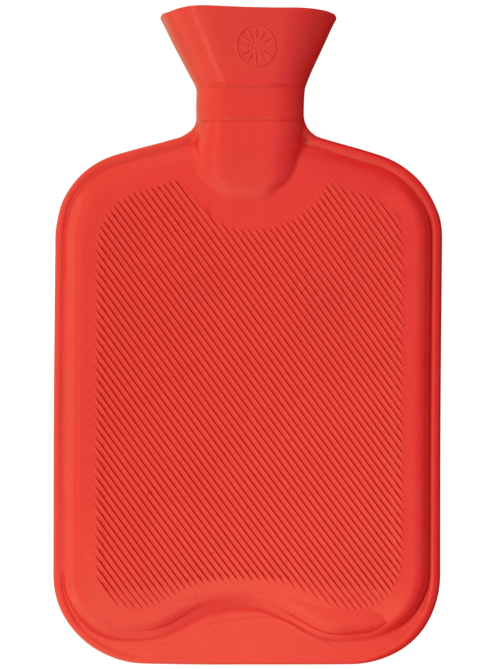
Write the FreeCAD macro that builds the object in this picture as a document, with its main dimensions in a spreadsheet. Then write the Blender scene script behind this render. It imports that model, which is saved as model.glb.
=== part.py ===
import FreeCAD, Part
import math
import os
import Sketcher

V = FreeCAD.Vector

doc = FreeCAD.newDocument("HotWaterBottle")

# ---------------------------------------------------------------------------
# Driving dimensions, in millimetres and degrees.
# The bottle is drawn lying flat: X across, Y from the bottom edge to the mouth,
# Z = 0 on the parting plane between the front and the back half.
# ---------------------------------------------------------------------------
DIMS = [
    # flange: the flat outline where the two halves are joined
    ("half_width", 100.0, "half of the bag's width"),
    ("corner_rad", 46.0, "outer radius of the bottom corners"),
    ("shoulder_rad", 44.9, "outer radius of the shoulders"),
    ("shoulder_high", 220.7, "height of the shoulder arc's centre"),
    ("slope_deg", 15.8, "fall of the shoulder line away from the neck"),
    ("saddle_rad", 14.0, "hollow between shoulder and neck"),
    ("root_half", 26.4, "half width of the flange inside the neck"),
    ("flange_top", 288.0, "upper end of the flange, inside the neck"),
    ("flange_thick", 4.8, "both layers of the flange"),
    ("rim_round", 2.2, "rounding of the rim bead"),
    ("rim_width", 5.2, "from the outer edge to the crease"),
    # panel: the raised bag on each side of the flange
    ("panel_high", 9.5, "panel face above the parting plane"),
    ("panel_start", 2.2, "level at which the bevel leaves the flange"),
    ("bevel_run", 5.4, "sideways run of the bevel"),
    ("bevel_round", 7.5, "rounding between bevel and panel face"),
    ("lobe_low", 13.8, "lower end of the panel's two lobes"),
    ("lobe_corner", 33.0, "outer radius of the lobes"),
    ("lobe_rad", 40.0, "inner radius of the lobes"),
    ("lobe_mid", 52.0, "centre of the inner lobe radius from the axis"),
    ("arch_rad", 54.0, "radius of the arch between the lobes"),
    ("panel_top", 272.0, "upper end of the panel, inside the neck"),
    ("wall_low", 1.15, "cavity inset at the parting plane"),
    ("wall_high", 6.6, "cavity inset under the panel face"),
    ("cavity_high", 7.2, "cavity face above the parting plane"),
    # ribs
    ("rib_high", 0.7, "height of the ribs"),
    ("rib_pitch", 3.0, "distance between ribs"),
    ("rib_gap", 1.5, "groove width at the panel face"),
    ("rib_gap_top", 2.3, "groove width between the rib crests"),
    ("rib_deg", 53.8, "slope of the ribs"),
    # neck and funnel, outer slot-shaped sections
    ("mouth_at", 334.3, "height of the mouth"),
    ("mouth_a", 45.8, "half width of the mouth"),
    ("mouth_b", 26.3, "half depth of the mouth"),
    ("waist_at", 298.0, "height at which the funnel starts"),
    ("waist_a", 28.1, "half width there"),
    ("waist_b", 16.0, "half depth there"),
    ("tongue_at", 236.0, "lower end of the tongue, inside the panel"),
    ("tongue_step", 7.0, "distance between the tongue's sections"),
    ("tongue_a", 12.0, "half width of the tongue's sections, from below"),
    ("tongue_b", 7.5, "half depth of the tongue's sections, from below"),
    ("tongue_aa", 17.6, ""),
    ("tongue_bb", 10.6, ""),
    ("tongue_aaa", 24.9, ""),
    ("tongue_bbb", 13.6, ""),
    ("tongue_aaaa", 27.5, ""),
    ("tongue_bbbb", 15.5, ""),
    ("neck_at", 285.0, "height of the narrowest part of the neck"),
    ("neck_a", 27.75, "half width of the neck"),
    ("neck_b", 15.75, "half depth of the neck"),
    ("root_at", 268.0, "height of the neck's root"),
    ("root_a", 27.9, "half width of the root"),
    ("root_b", 16.0, "half depth of the root"),
    ("lip_round", 1.0, "rounding of the mouth's lip"),
    ("funnel_wall", 2.6, "wall of the funnel at the mouth"),
    # insert, stopper, washer
    ("insert_low", 270.0, "lower end of the insert"),
    ("insert_high", 294.0, "upper end of the insert, the washer's seat"),
    ("insert_rad", 13.3, "outer radius of the insert"),
    ("bore_rad", 9.95, "minor radius of the insert's thread"),
    ("groove_deep", 1.1, "depth of the insert's thread"),
    ("thread_pitch", 3.5, "rise of the stopper for each turn"),
    ("core_rad", 9.6, "root radius of the stopper's thread"),
    ("ridge_high", 1.1, "height of the stopper's thread"),
    ("ridge_root", 2.0, "width of the stopper's thread at its root"),
    ("ridge_crest", 1.0, "width of the stopper's thread at its crest"),
    ("thread_gap", 0.3, "clearance on each flank of the thread"),
    ("ridge_start", 275.5, "height of the thread's first turn"),
    ("ridge_rise", 14.0, "length of the threaded stretch"),
    ("plug_low", 273.0, "lower end of the stopper"),
    ("washer_gap", 0.05, "gap on each side of the washer"),
    ("washer_thick", 3.0, "thickness of the washer"),
    ("washer_in", 9.5, "inner radius of the washer"),
    ("washer_out", 12.8, "outer radius of the washer"),
    ("collar_rad", 9.2, "radius of the stopper under its disc"),
    ("disc_rad", 13.0, "radius of the stopper's disc"),
    ("disc_thick", 3.4, "thickness of the stopper's disc"),
    ("tab_thick", 5.0, "thickness of the finger tab"),
    ("tab_low_half", 11.0, "half width of the finger tab at the disc"),
    ("tab_half", 15.5, "half width of the finger tab at its shoulders"),
    ("tab_high", 27.0, "height of the finger tab above the disc"),
    # how the empty bottle lies on its back: the mouth's lip and the lower
    # end of the back panel touch the ground
    ("lie_deg", 3.06, "angle between the parting plane and the ground"),
]
sheet = doc.addObject("Spreadsheet::Sheet", "Sheet")
P = {}
for row, (name, value, note) in enumerate(DIMS, start=1):
    sheet.set("A%d" % row, name)
    sheet.set("B%d" % row, repr(float(value)))
    sheet.set("C%d" % row, note)
    sheet.setAlias("B%d" % row, name)
    P[name] = float(value)
doc.recompute()


# ---------------------------------------------------------------------------
# Sketch helpers
# ---------------------------------------------------------------------------
def plane(body, role):
    for item in body.Origin.OriginFeatures:
        if item.Role == role:
            return item
    raise RuntimeError("no plane " + role)


def sketch_on(body, role, name, level=None):
    """A sketch on an origin plane of the body; level is an expression for
    its distance along the plane's normal."""
    sk = body.newObject("Sketcher::SketchObject", name)
    sk.AttachmentSupport = [(plane(body, role), "")]
    sk.MapMode = "FlatFace"
    if level is not None:
        sk.setExpression("AttachmentOffset.Base.z", level)
    doc.recompute()
    return sk


def line(p, q):
    return Part.LineSegment(V(p[0], p[1], 0), V(q[0], q[1], 0))


def arc(c, r, a0, a1):
    """Arc traversed counter-clockwise from a0 to a1, in radians."""
    return Part.ArcOfCircle(Part.Circle(V(c[0], c[1], 0), V(0, 0, 1), r), a0, a1)


def bind(sk, kind, args, value, name, expression):
    index = sk.addConstraint(Sketcher.Constraint(kind, *args, value))
    sk.renameConstraint(index, name)
    sk.setExpression("Constraints." + name, expression)
    return index


def slot(body, name, level, half_a, half_b, role="XZ_Plane"):
    """A slot-shaped section across the neck: flat front and back, round
    sides. The three sizes are expressions."""
    sk = sketch_on(body, role, name, "-(%s)" % level)
    a = evaluate(half_a)
    b = evaluate(half_b)
    c = a - b
    sk.addGeometry(
        [
            line((-c, -b), (c, -b)),
            arc((c, 0), b, -math.pi / 2, math.pi / 2),
            line((c, b), (-c, b)),
            arc((-c, 0), b, math.pi / 2, 3 * math.pi / 2),
        ]
    )
    for i, j in ((0, 1), (1, 2), (2, 3), (3, 0)):
        sk.addConstraint(Sketcher.Constraint("Tangent", i, 2, j, 1))
    sk.addConstraint(Sketcher.Constraint("PointOnObject", 1, 3, -1))
    sk.addConstraint(Sketcher.Constraint("Symmetric", 1, 3, 3, 3, -1, 1))
    bind(sk, "Radius", (1,), b, "half_depth", half_b)
    bind(sk, "DistanceX", (-1, 1, 1, 3), c, "centre", "(%s) - (%s)" % (half_a, half_b))
    doc.recompute()
    return sk


def evaluate(expression):
    """The value of an expression over the sheet's own cells."""
    import re

    def cell(match):
        return repr(P[match.group(1)])

    text = re.sub(r"Sheet\.([a-z_]+)", cell, expression)
    total = 0.0
    for sign, term in re.findall(r"([+-]?)\s*([^+-]+)", text.replace("(", " ").replace(")", " ")):
        product = 1.0
        for factor in term.split("*"):
            product *= float(factor)
        total += -product if sign == "-" else product
    return total


def dim(name):
    return "Sheet." + name


def loft(body, kind, name, sections, ruled=False):
    feature = body.newObject("PartDesign::" + kind, name)
    feature.Profile = sections[0]
    feature.Sections = sections[1:]
    feature.Ruled = ruled
    feature.Refine = False
    doc.recompute()
    return feature


# ---------------------------------------------------------------------------
# The flange's outline
# ---------------------------------------------------------------------------
def flange_sketch(body):
    sk = sketch_on(body, "XY_Plane", "flange_outline")
    w, rc, rs = P["half_width"], P["corner_rad"], P["shoulder_rad"]
    hs, r3, xn, yt = P["shoulder_high"], P["saddle_rad"], P["root_half"], P["flange_top"]
    fi = math.radians(90 - P["slope_deg"])
    n = (math.cos(fi), math.sin(fi))
    cs = (w - rs, hs)
    s = (cs[0] + rs * n[0], cs[1] + rs * n[1])
    c3x = xn + r3
    c3y = s[1] + (r3 - (c3x - s[0]) * n[0]) / n[1]
    q = (c3x - r3 * n[0], c3y - r3 * n[1])
    half = math.pi / 2
    right = [
        arc((w - rc, rc), rc, -half, 0),  # 1
        line((w, rc), (w, hs)),  # 2
        arc(cs, rs, 0, fi),  # 3
        line(s, q),  # 4
        arc((c3x, c3y), r3, math.pi, math.pi + fi),  # 5, hollow side
        line((xn, c3y), (xn, yt)),  # 6
    ]
    left = [
        line((-xn, yt), (-xn, c3y)),  # 8
        arc((-c3x, c3y), r3, -fi, 0),  # 9, hollow side
        line((-q[0], q[1]), (-s[0], s[1])),  # 10
        arc((-cs[0], cs[1]), rs, math.pi - fi, math.pi),  # 11
        line((-w, hs), (-w, rc)),  # 12
        arc((-(w - rc), rc), rc, math.pi, 3 * half),  # 13
    ]
    sk.addGeometry([line((-(w - rc), 0), (w - rc, 0))] + right + [line((xn, yt), (-xn, yt))] + left)
    C = Sketcher.Constraint
    sk.addConstraint(
        [
            C("Tangent", 0, 2, 1, 1),
            C("Tangent", 1, 2, 2, 1),
            C("Tangent", 2, 2, 3, 1),
            C("Tangent", 3, 2, 4, 1),
            C("Tangent", 4, 2, 5, 2),
            C("Tangent", 5, 1, 6, 1),
            C("Coincident", 6, 2, 7, 1),
            C("Coincident", 7, 2, 8, 1),
            C("Coincident", 8, 2, 9, 2),
            C("Coincident", 9, 1, 10, 1),
            C("Coincident", 10, 2, 11, 1),
            C("Coincident", 11, 2, 12, 1),
            C("Coincident", 12, 2, 13, 1),
            C("Coincident", 13, 2, 0, 1),
            C("Equal", 1, 13),
            C("Equal", 3, 11),
            C("Equal", 5, 9),
            C("Symmetric", 1, 1, 13, 2, -2),
            C("Symmetric", 1, 2, 13, 1, -2),
            C("Symmetric", 3, 1, 11, 2, -2),
            C("Symmetric", 3, 2, 11, 1, -2),
            C("Symmetric", 5, 1, 9, 2, -2),
            C("Symmetric", 5, 2, 9, 1, -2),
            C("Symmetric", 7, 1, 7, 2, -2),
        ]
    )
    bind(sk, "Radius", (1,), rc, "corner", dim("corner_rad"))
    bind(sk, "DistanceX", (-1, 1, 1, 3), w - rc, "corner_x", "Sheet.half_width - Sheet.corner_rad")
    bind(sk, "DistanceY", (-1, 1, 1, 3), rc, "corner_y", dim("corner_rad"))
    bind(sk, "Radius", (3,), rs, "shoulder", dim("shoulder_rad"))
    bind(sk, "DistanceX", (-1, 1, 3, 3), w - rs, "shoulder_x", "Sheet.half_width - Sheet.shoulder_rad")
    bind(sk, "DistanceY", (-1, 1, 3, 3), hs, "shoulder_y", dim("shoulder_high"))
    bind(sk, "Radius", (5,), r3, "saddle", dim("saddle_rad"))
    bind(sk, "DistanceX", (-1, 1, 5, 3), c3x, "saddle_x", "Sheet.root_half + Sheet.saddle_rad")
    bind(sk, "DistanceY", (-1, 1, 5, 3), c3y, "saddle_y", repr(round(c3y, 9)))
    bind(sk, "DistanceY", (-1, 1, 7, 1), yt, "top", dim("flange_top"))
    doc.recompute()
    return sk


# ---------------------------------------------------------------------------
# The panel's outline, inset by an expression: two lobes with an arch between
# them at the bottom, the shoulders' line at the top
# ---------------------------------------------------------------------------
def panel_sketch(body, name, inset, level):
    sk = sketch_on(body, "XY_Plane", name, level)
    d = evaluate(inset)
    w = P["half_width"] - P["rim_width"]
    rs = P["shoulder_rad"] - P["rim_width"] - d
    hs = P["shoulder_high"]
    rc = P["lobe_corner"] - d
    ra = P["lobe_rad"] - d
    rb = P["arch_rad"] + d
    xa = P["lobe_mid"]
    yt = P["panel_top"] - d
    fi = math.radians(90 - P["slope_deg"])
    n = (math.cos(fi), math.sin(fi))
    cs = (w - P["shoulder_rad"] + P["rim_width"], hs)
    s = (cs[0] + rs * n[0], cs[1] + rs * n[1])
    t = ((yt - s[1]) / n[0], 0)
    e = (s[0] - t[0] * n[1], yt)
    cc = (w - P["lobe_corner"], P["lobe_low"] + P["lobe_corner"])
    ca = (xa, P["lobe_low"] + P["lobe_rad"])
    total = ra + rb
    cb = (0.0, ca[1] - math.sqrt(total * total - xa * xa))
    u = math.atan2(ca[1] - cb[1], ca[0] - cb[0])
    half = math.pi / 2
    geometry = [
        arc(cb, rb, u, math.pi - u),  # 0 arch
        arc(ca, ra, u + math.pi, 3 * half),  # 1 inner lobe, right
        line((ca[0], ca[1] - ra), (cc[0], cc[1] - rc)),  # 2
        arc(cc, rc, -half, 0),  # 3
        line((cc[0] + rc, cc[1]), (cs[0] + rs, cs[1])),  # 4
        arc(cs, rs, 0, fi),  # 5
        line(s, e),  # 6
        line(e, (-e[0], e[1])),  # 7
        line((-e[0], e[1]), (-s[0], s[1])),  # 8
        arc((-cs[0], cs[1]), rs, math.pi - fi, math.pi),  # 9
        line((-cs[0] - rs, cs[1]), (-cc[0] - rc, cc[1])),  # 10
        arc((-cc[0], cc[1]), rc, math.pi, 3 * half),  # 11
        line((-cc[0], cc[1] - rc), (-ca[0], ca[1] - ra)),  # 12
        arc((-ca[0], ca[1]), ra, -half, -u),  # 13 inner lobe, left
    ]
    sk.addGeometry(geometry)
    C = Sketcher.Constraint
    sk.addConstraint(
        [
            C("Tangent", 0, 1, 1, 1),
            C("Tangent", 1, 2, 2, 1),
            C("Coincident", 2, 2, 3, 1),
            C("Tangent", 3, 2, 4, 1),
            C("Coincident", 4, 2, 5, 1),
            C("Tangent", 5, 2, 6, 1),
            C("Coincident", 6, 2, 7, 1),
            C("Coincident", 7, 2, 8, 1),
            C("Coincident", 8, 2, 9, 1),
            C("Coincident", 9, 2, 10, 1),
            C("Coincident", 10, 2, 11, 1),
            C("Coincident", 11, 2, 12, 1),
            C("Coincident", 12, 2, 13, 1),
            C("Coincident", 13, 2, 0, 2),
            C("Equal", 1, 13),
            C("Equal", 3, 11),
            C("Equal", 5, 9),
            C("Symmetric", 1, 1, 13, 2, -2),
            C("Symmetric", 1, 2, 13, 1, -2),
            C("Symmetric", 3, 1, 11, 2, -2),
            C("Symmetric", 3, 2, 11, 1, -2),
            C("Symmetric", 5, 1, 9, 2, -2),
            C("Symmetric", 5, 2, 9, 1, -2),
            C("Symmetric", 7, 1, 7, 2, -2),
        ]
    )
    more = "" if inset == "0" else " - (%s)" % inset
    plus = "" if inset == "0" else " + (%s)" % inset
    bind(sk, "Radius", (0,), rb, "arch", "Sheet.arch_rad" + plus)
    bind(sk, "Radius", (1,), ra, "lobe_inner", "Sheet.lobe_rad" + more)
    bind(sk, "DistanceX", (-1, 1, 1, 3), ca[0], "lobe_inner_x", "Sheet.lobe_mid")
    bind(sk, "DistanceY", (-1, 1, 1, 3), ca[1], "lobe_inner_y", "Sheet.lobe_low + Sheet.lobe_rad")
    bind(sk, "Radius", (3,), rc, "lobe_outer", "Sheet.lobe_corner" + more)
    bind(sk, "DistanceX", (-1, 1, 3, 3), cc[0], "lobe_outer_x", "Sheet.half_width - Sheet.rim_width - Sheet.lobe_corner")
    bind(sk, "DistanceY", (-1, 1, 3, 3), cc[1], "lobe_outer_y", "Sheet.lobe_low + Sheet.lobe_corner")
    bind(sk, "Radius", (5,), rs, "shoulder", "Sheet.shoulder_rad - Sheet.rim_width" + more)
    bind(sk, "DistanceX", (-1, 1, 5, 3), cs[0], "shoulder_x", "Sheet.half_width - Sheet.shoulder_rad")
    bind(sk, "DistanceY", (-1, 1, 5, 3), cs[1], "shoulder_y", "Sheet.shoulder_high")
    bind(sk, "Angle", (6,), math.pi - math.radians(P["slope_deg"]), "slope", "180 - Sheet.slope_deg")
    bind(sk, "DistanceY", (-1, 1, 7, 1), yt, "top", "Sheet.panel_top" + more)
    doc.recompute()
    return sk


def edges_at(shape, keep):
    return ["Edge%d" % (i + 1) for i, e in enumerate(shape.Edges) if keep(e)]


def fillet(body, base, names, radius, name):
    feature = body.newObject("PartDesign::Fillet", name)
    feature.Base = (base, names)
    feature.Radius = evaluate(radius)
    feature.setExpression("Radius", radius)
    feature.Refine = False
    doc.recompute()
    return feature


def points_of(edge, count=5):
    a, b = edge.ParameterRange
    return [edge.valueAt(a + (b - a) * k / (count - 1)) for k in range(count)]


# ---------------------------------------------------------------------------
# rubber_body: one hollow moulding
# ---------------------------------------------------------------------------
rubber = doc.addObject("PartDesign::Body", "bottle_shell")

outline = flange_sketch(rubber)
flange = rubber.newObject("PartDesign::Pad", "flange")
flange.Profile = outline
flange.Midplane = True
flange.setExpression("Length", "Sheet.flange_thick")
doc.recompute()
zt = P["flange_thick"] / 2
rim_edges = edges_at(
    flange.Shape,
    lambda e: all(abs(abs(p.z) - zt) < 1e-6 for p in points_of(e))
    and not all(abs(p.y - P["flange_top"]) < 1e-6 for p in points_of(e)),
)
rim = fillet(rubber, flange, rim_edges, "Sheet.rim_round", "rim_bead")

# the raised panel of each half, with its bevel and its rounded shoulder
sides = []
for side, sign in (("front", ""), ("back", "-")):
    low = panel_sketch(rubber, side + "_panel_foot", "0", sign + "Sheet.panel_start")
    high = panel_sketch(rubber, side + "_panel_face", "Sheet.bevel_run", sign + "Sheet.panel_high")
    panel = loft(rubber, "AdditiveLoft", side + "_panel", [low, high], ruled=True)
    z = P["panel_high"] * (1 if side == "front" else -1)
    top = edges_at(
        panel.Shape,
        lambda e: all(abs(p.z - z) < 1e-6 for p in points_of(e))
        and min(p.y for p in points_of(e)) < P["panel_top"] - P["bevel_run"] - 1e-3,
    )
    rounded = fillet(rubber, panel, top, "Sheet.bevel_round", side + "_panel_round")


# the neck, running down as a tongue into the panels
neck = loft(
    rubber,
    "AdditiveLoft",
    "neck",
    [
        slot(rubber, "tongue_1", dim("tongue_at"), dim("tongue_a"), dim("tongue_b")),
        slot(rubber, "tongue_2", "Sheet.tongue_at + Sheet.tongue_step", dim("tongue_aa"), dim("tongue_bb")),
        slot(rubber, "tongue_3", "Sheet.tongue_at + 2 * Sheet.tongue_step", dim("tongue_aaa"), dim("tongue_bbb")),
        slot(rubber, "tongue_4", "Sheet.tongue_at + 3 * Sheet.tongue_step", dim("tongue_aaaa"), dim("tongue_bbbb")),
        slot(rubber, "neck_root", dim("root_at"), dim("root_a"), dim("root_b")),
        slot(rubber, "neck_waist", dim("neck_at"), dim("neck_a"), dim("neck_b")),
        slot(rubber, "funnel_foot", dim("waist_at"), dim("waist_a"), dim("waist_b")),
    ],
)
funnel = loft(
    rubber,
    "AdditiveLoft",
    "funnel",
    [
        slot(rubber, "funnel_low", dim("waist_at"), dim("waist_a"), dim("waist_b")),
        slot(rubber, "funnel_mouth", dim("mouth_at"), dim("mouth_a"), dim("mouth_b")),
    ],
    ruled=True,
)
print("with neck", round(rubber.Shape.Volume), rubber.Shape.isValid())

# the hollow: the bag's cavity, the way up through the tongue, the funnel
for side, sign in (("front", ""), ("back", "-")):
    low = panel_sketch(rubber, side + "_cavity_foot", dim("wall_low"), "0 * Sheet.cavity_high")
    high = panel_sketch(rubber, side + "_cavity_face", dim("wall_high"), sign + "Sheet.cavity_high")
    loft(rubber, "SubtractiveLoft", side + "_cavity", [low, high], ruled=True)
    print("cavity", side, round(rubber.Shape.Volume), rubber.Shape.isValid())
loft(
    rubber,
    "SubtractiveLoft",
    "throat",
    [
        slot(rubber, "throat_1", "Sheet.tongue_at + Sheet.tongue_step", "Sheet.tongue_aa - 4.5", "Sheet.tongue_bb - 3"),
        slot(rubber, "throat_2", "Sheet.tongue_at + 2 * Sheet.tongue_step", "Sheet.tongue_aaa - 3.5", "Sheet.tongue_bbb - 2.6"),
        slot(rubber, "throat_3", "Sheet.tongue_at + 3 * Sheet.tongue_step", "Sheet.tongue_aaaa - 2.7", "Sheet.tongue_bbbb - 2.5"),
        slot(rubber, "throat_4", "Sheet.insert_low - 6", "Sheet.root_a - 6", "Sheet.root_b - 3"),
        slot(rubber, "throat_5", dim("insert_low"), "Sheet.bore_rad + 1", "Sheet.bore_rad + 0.4"),
    ],
    ruled=True,
)
print("throat", round(rubber.Shape.Volume), rubber.Shape.isValid())
loft(
    rubber,
    "SubtractiveLoft",
    "funnel_inside",
    [
        slot(rubber, "inside_low", dim("insert_high"), "Sheet.insert_rad + 0.6", "Sheet.insert_rad + 0.15"),
        slot(rubber, "inside_mid", "Sheet.insert_high + 7", "Sheet.insert_rad + 5", "Sheet.insert_rad + 0.6"),
        slot(rubber, "inside_mouth", dim("mouth_at"), "Sheet.mouth_a - Sheet.funnel_wall", "Sheet.mouth_b - Sheet.funnel_wall"),
    ],
    ruled=True,
)
print("funnel inside", round(rubber.Shape.Volume), rubber.Shape.isValid())


# the insert's outside, with two grip grooves that the rubber fills
def insert_outside():
    r, y0, y1 = P["insert_rad"], P["insert_low"], P["insert_high"]
    g = 1.3
    return [
        (r, y0), (r, y0 + 4.0), (r - g, y0 + 4.8), (r - g, y0 + 8.0), (r, y0 + 8.8),
        (r, y0 + 13.0), (r - g, y0 + 13.8), (r - g, y0 + 17.0), (r, y0 + 17.8), (r, y1),
    ]


def revolve(body, kind, name, points):
    sk = sketch_on(body, "XY_Plane", name + "_profile")
    count = len(points)
    sk.addGeometry([line(points[i], points[(i + 1) % count]) for i in range(count)])
    for i in range(count):
        sk.addConstraint(Sketcher.Constraint("Coincident", i, 2, (i + 1) % count, 1))
    doc.recompute()
    feature = body.newObject("PartDesign::" + kind, name)
    feature.Profile = sk
    feature.ReferenceAxis = (sk, ["V_Axis"])
    feature.Angle = 360.0
    feature.Refine = False
    doc.recompute()
    return sk, feature


before = rubber.Shape.Volume
seat_sketch, seat = revolve(rubber, "Groove", "insert_seat", [(0.0, P["insert_low"])] + insert_outside() + [(0.0, P["insert_high"])])
print("insert seat takes", round(before - rubber.Shape.Volume))

lip_edges = edges_at(
    rubber.Shape, lambda e: all(abs(p.y - P["mouth_at"]) < 1e-6 for p in points_of(e))
)
lip = fillet(rubber, seat, lip_edges, "Sheet.lip_round", "lip")
print("lip", round(rubber.Shape.Volume), rubber.Shape.isValid(), len(rubber.Shape.Solids))

# ---------------------------------------------------------------------------
# The field of slanting ribs moulded on the front panel: a low block with the
# field's outline, in common with rows of tapered bars
# ---------------------------------------------------------------------------
ribs = doc.addObject("PartDesign::Body", "rib_block")
FIELD = [
    (-38.0, 250.5), (-51.5, 246.5), (-62.0, 243.0), (-70.0, 237.7), (-77.0, 229.4), (-79.0, 222.0),
    (-79.0, 52.0), (-77.0, 46.5), (-67.0, 33.0), (-61.0, 30.0), (-54.5, 29.4), (-46.5, 32.2), (-35.0, 39.0), (-24.0, 43.6), (-12.0, 45.8), (0.0, 46.2),
]
SCOOP = [(0.0, 226.0), (9.0, 227.4), (19.0, 231.5), (28.0, 237.3), (34.0, 244.0)]
left_side = FIELD
right_side = [(-x, y) for x, y in reversed(FIELD[:-1])]
scoop = [(x, y) for x, y in reversed(SCOOP)] + [(-x, y) for x, y in SCOOP[1:]]
loop = left_side + right_side + scoop
field = sketch_on(ribs, "XY_Plane", "rib_field", "Sheet.panel_high")
field.addGeometry([line(loop[i], loop[(i + 1) % len(loop)]) for i in range(len(loop))])
for i in range(len(loop)):
    field.addConstraint(Sketcher.Constraint("Coincident", i, 2, (i + 1) % len(loop), 1))
doc.recompute()
plateau = ribs.newObject("PartDesign::Pad", "rib_plateau")
plateau.Profile = field
plateau.setExpression("Length", "Sheet.rib_high")
plateau.Refine = False
doc.recompute()

# long bars with a tapered section, side by side across the whole field
bars = doc.addObject("Part::Feature", "rib_rows")
pitch, z0, z1 = P["rib_pitch"], P["panel_high"], P["panel_high"] + P["rib_high"]
low_half, top_half = (pitch - P["rib_gap"]) / 2, (pitch - P["rib_gap_top"]) / 2
slant = math.radians(P["rib_deg"])
along = V(math.cos(slant), -math.sin(slant), 0)
across = V(math.sin(slant), math.cos(slant), 0)
spread = (low_half - top_half) / (z1 - z0) * 0.5
rows = []
for k in range(80):
    centre = across * (-36.0 + pitch * k) + along * -245.0
    outline = [
        centre - across * (low_half + spread) + V(0, 0, z0 - 0.5),
        centre + across * (low_half + spread) + V(0, 0, z0 - 0.5),
        centre + across * top_half + V(0, 0, z1),
        centre - across * top_half + V(0, 0, z1),
    ]
    rows.append(Part.Face(Part.makePolygon(outline + outline[:1])).extrude(along * 275.0))
bars.Shape = Part.makeCompound(rows)
ribbed = doc.addObject("Part::Common", "rib_bars_in_field")
ribbed.Base = ribs
ribbed.Tool = bars
ribbed.Refine = False
doc.recompute()
print("ribs", round(ribbed.Shape.Volume), len(ribbed.Shape.Solids), ribbed.Shape.isValid())

# ---------------------------------------------------------------------------
# The empty bottle lies on its back, resting on the mouth's lip and on the
# lower end of the back panel; the ground is Z = 0
# ---------------------------------------------------------------------------
turn = FreeCAD.Rotation(V(1, 0, 0), P["lie_deg"])
trial = rubber.Shape.copy()
trial.rotate(V(0, 0, 0), V(1, 0, 0), P["lie_deg"])
box = trial.optimalBoundingBox(False, False)
shift = V(0, -(box.YMin + box.YMax) / 2, -box.ZMin)
resting = FreeCAD.Placement(shift, turn)
print("shift", shift, "size", box.XLength, box.YLength, box.ZLength)

bottle = doc.addObject("Part::MultiFuse", "rubber_body")
bottle.Shapes = [rubber, ribbed]
bottle.Refine = False
bottle.Placement = resting
bottle.Label = "rubber_body"
doc.recompute()
print("rubber body", round(bottle.Shape.Volume), bottle.Shape.isValid(), "solids", len(bottle.Shape.Solids))


# ---------------------------------------------------------------------------
# neck_insert: the rigid threaded socket moulded into the neck
# ---------------------------------------------------------------------------
def helix(body, kind, name, points, height):
    sk = sketch_on(body, "XY_Plane", name + "_profile")
    count = len(points)
    sk.addGeometry([line(points[i], points[(i + 1) % count]) for i in range(count)])
    for i in range(count):
        sk.addConstraint(Sketcher.Constraint("Coincident", i, 2, (i + 1) % count, 1))
    doc.recompute()
    feature = body.newObject("PartDesign::" + kind, name)
    feature.Profile = sk
    feature.ReferenceAxis = (sk, ["V_Axis"])
    feature.Mode = 0
    feature.setExpression("Pitch", "Sheet.thread_pitch")
    feature.setExpression("Height", height)
    feature.LeftHanded = False
    feature.Refine = False
    doc.recompute()
    return feature


insert = doc.addObject("PartDesign::Body", "neck_insert")
insert.Label = "neck_insert"
y0, y1, rb = P["insert_low"], P["insert_high"], P["bore_rad"]
revolve(
    insert,
    "Revolution",
    "socket",
    [(rb + 0.6, y0), *insert_outside(), (rb + 1.3, y1), (rb, y1 - 1.3), (rb, y0 + 0.6)],
)
solid_before = insert.Shape.Volume
rc, hh, gap = P["core_rad"], P["ridge_high"], P["thread_gap"]
low = P["ridge_start"] - 3 * P["thread_pitch"]
wr = P["ridge_root"] / 2 + gap
wc = P["ridge_crest"] / 2 + gap
depth = P["groove_deep"]
helix(
    insert,
    "SubtractiveHelix",
    "socket_thread",
    [(rb - 1.0, low - wr - 0.45), (rb + depth, low - wc), (rb + depth, low + wc), (rb - 1.0, low + wr + 0.45)],
    "Sheet.thread_pitch * 10",
)
print("insert", round(insert.Shape.Volume), "thread takes", round(solid_before - insert.Shape.Volume), insert.Shape.isValid(), len(insert.Shape.Solids))

# ---------------------------------------------------------------------------
# stopper_washer: the soft ring on the insert's top
# ---------------------------------------------------------------------------
washer = doc.addObject("PartDesign::Body", "stopper_washer")
washer.Label = "stopper_washer"
w0 = P["insert_high"] + P["washer_gap"]
w1 = w0 + P["washer_thick"]
wi, wo = P["washer_in"], P["washer_out"]
revolve(
    washer,
    "Revolution",
    "ring",
    [(wi, w0), (wo - 0.6, w0), (wo, w0 + 0.6), (wo, w1 - 0.6), (wo - 0.6, w1), (wi, w1)],
)
print("washer", round(washer.Shape.Volume), washer.Shape.isValid())

# ---------------------------------------------------------------------------
# stopper: threaded plug, disc and finger tab in one piece
# ---------------------------------------------------------------------------
stopper = doc.addObject("PartDesign::Body", "stopper")
stopper.Label = "stopper"
d0 = w1 + P["washer_gap"]
d1 = d0 + P["disc_thick"]
pl, rn, rd = P["plug_low"], P["collar_rad"], P["disc_rad"]
end_of_thread = P["ridge_start"] + P["ridge_rise"] + 1.6
revolve(
    stopper,
    "Revolution",
    "plug",
    [
        (0.0, pl + 6.0), (6.4, pl + 6.0), (6.4, pl), (rc - 1.0, pl), (rc, pl + 1.0), (rc, end_of_thread),
        (rn, end_of_thread + 0.4), (rn, d0), (rd - 0.5, d0), (rd, d0 + 0.5), (rd, d1 - 1.0), (rd - 1.0, d1), (0.0, d1),
    ],
)
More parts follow.
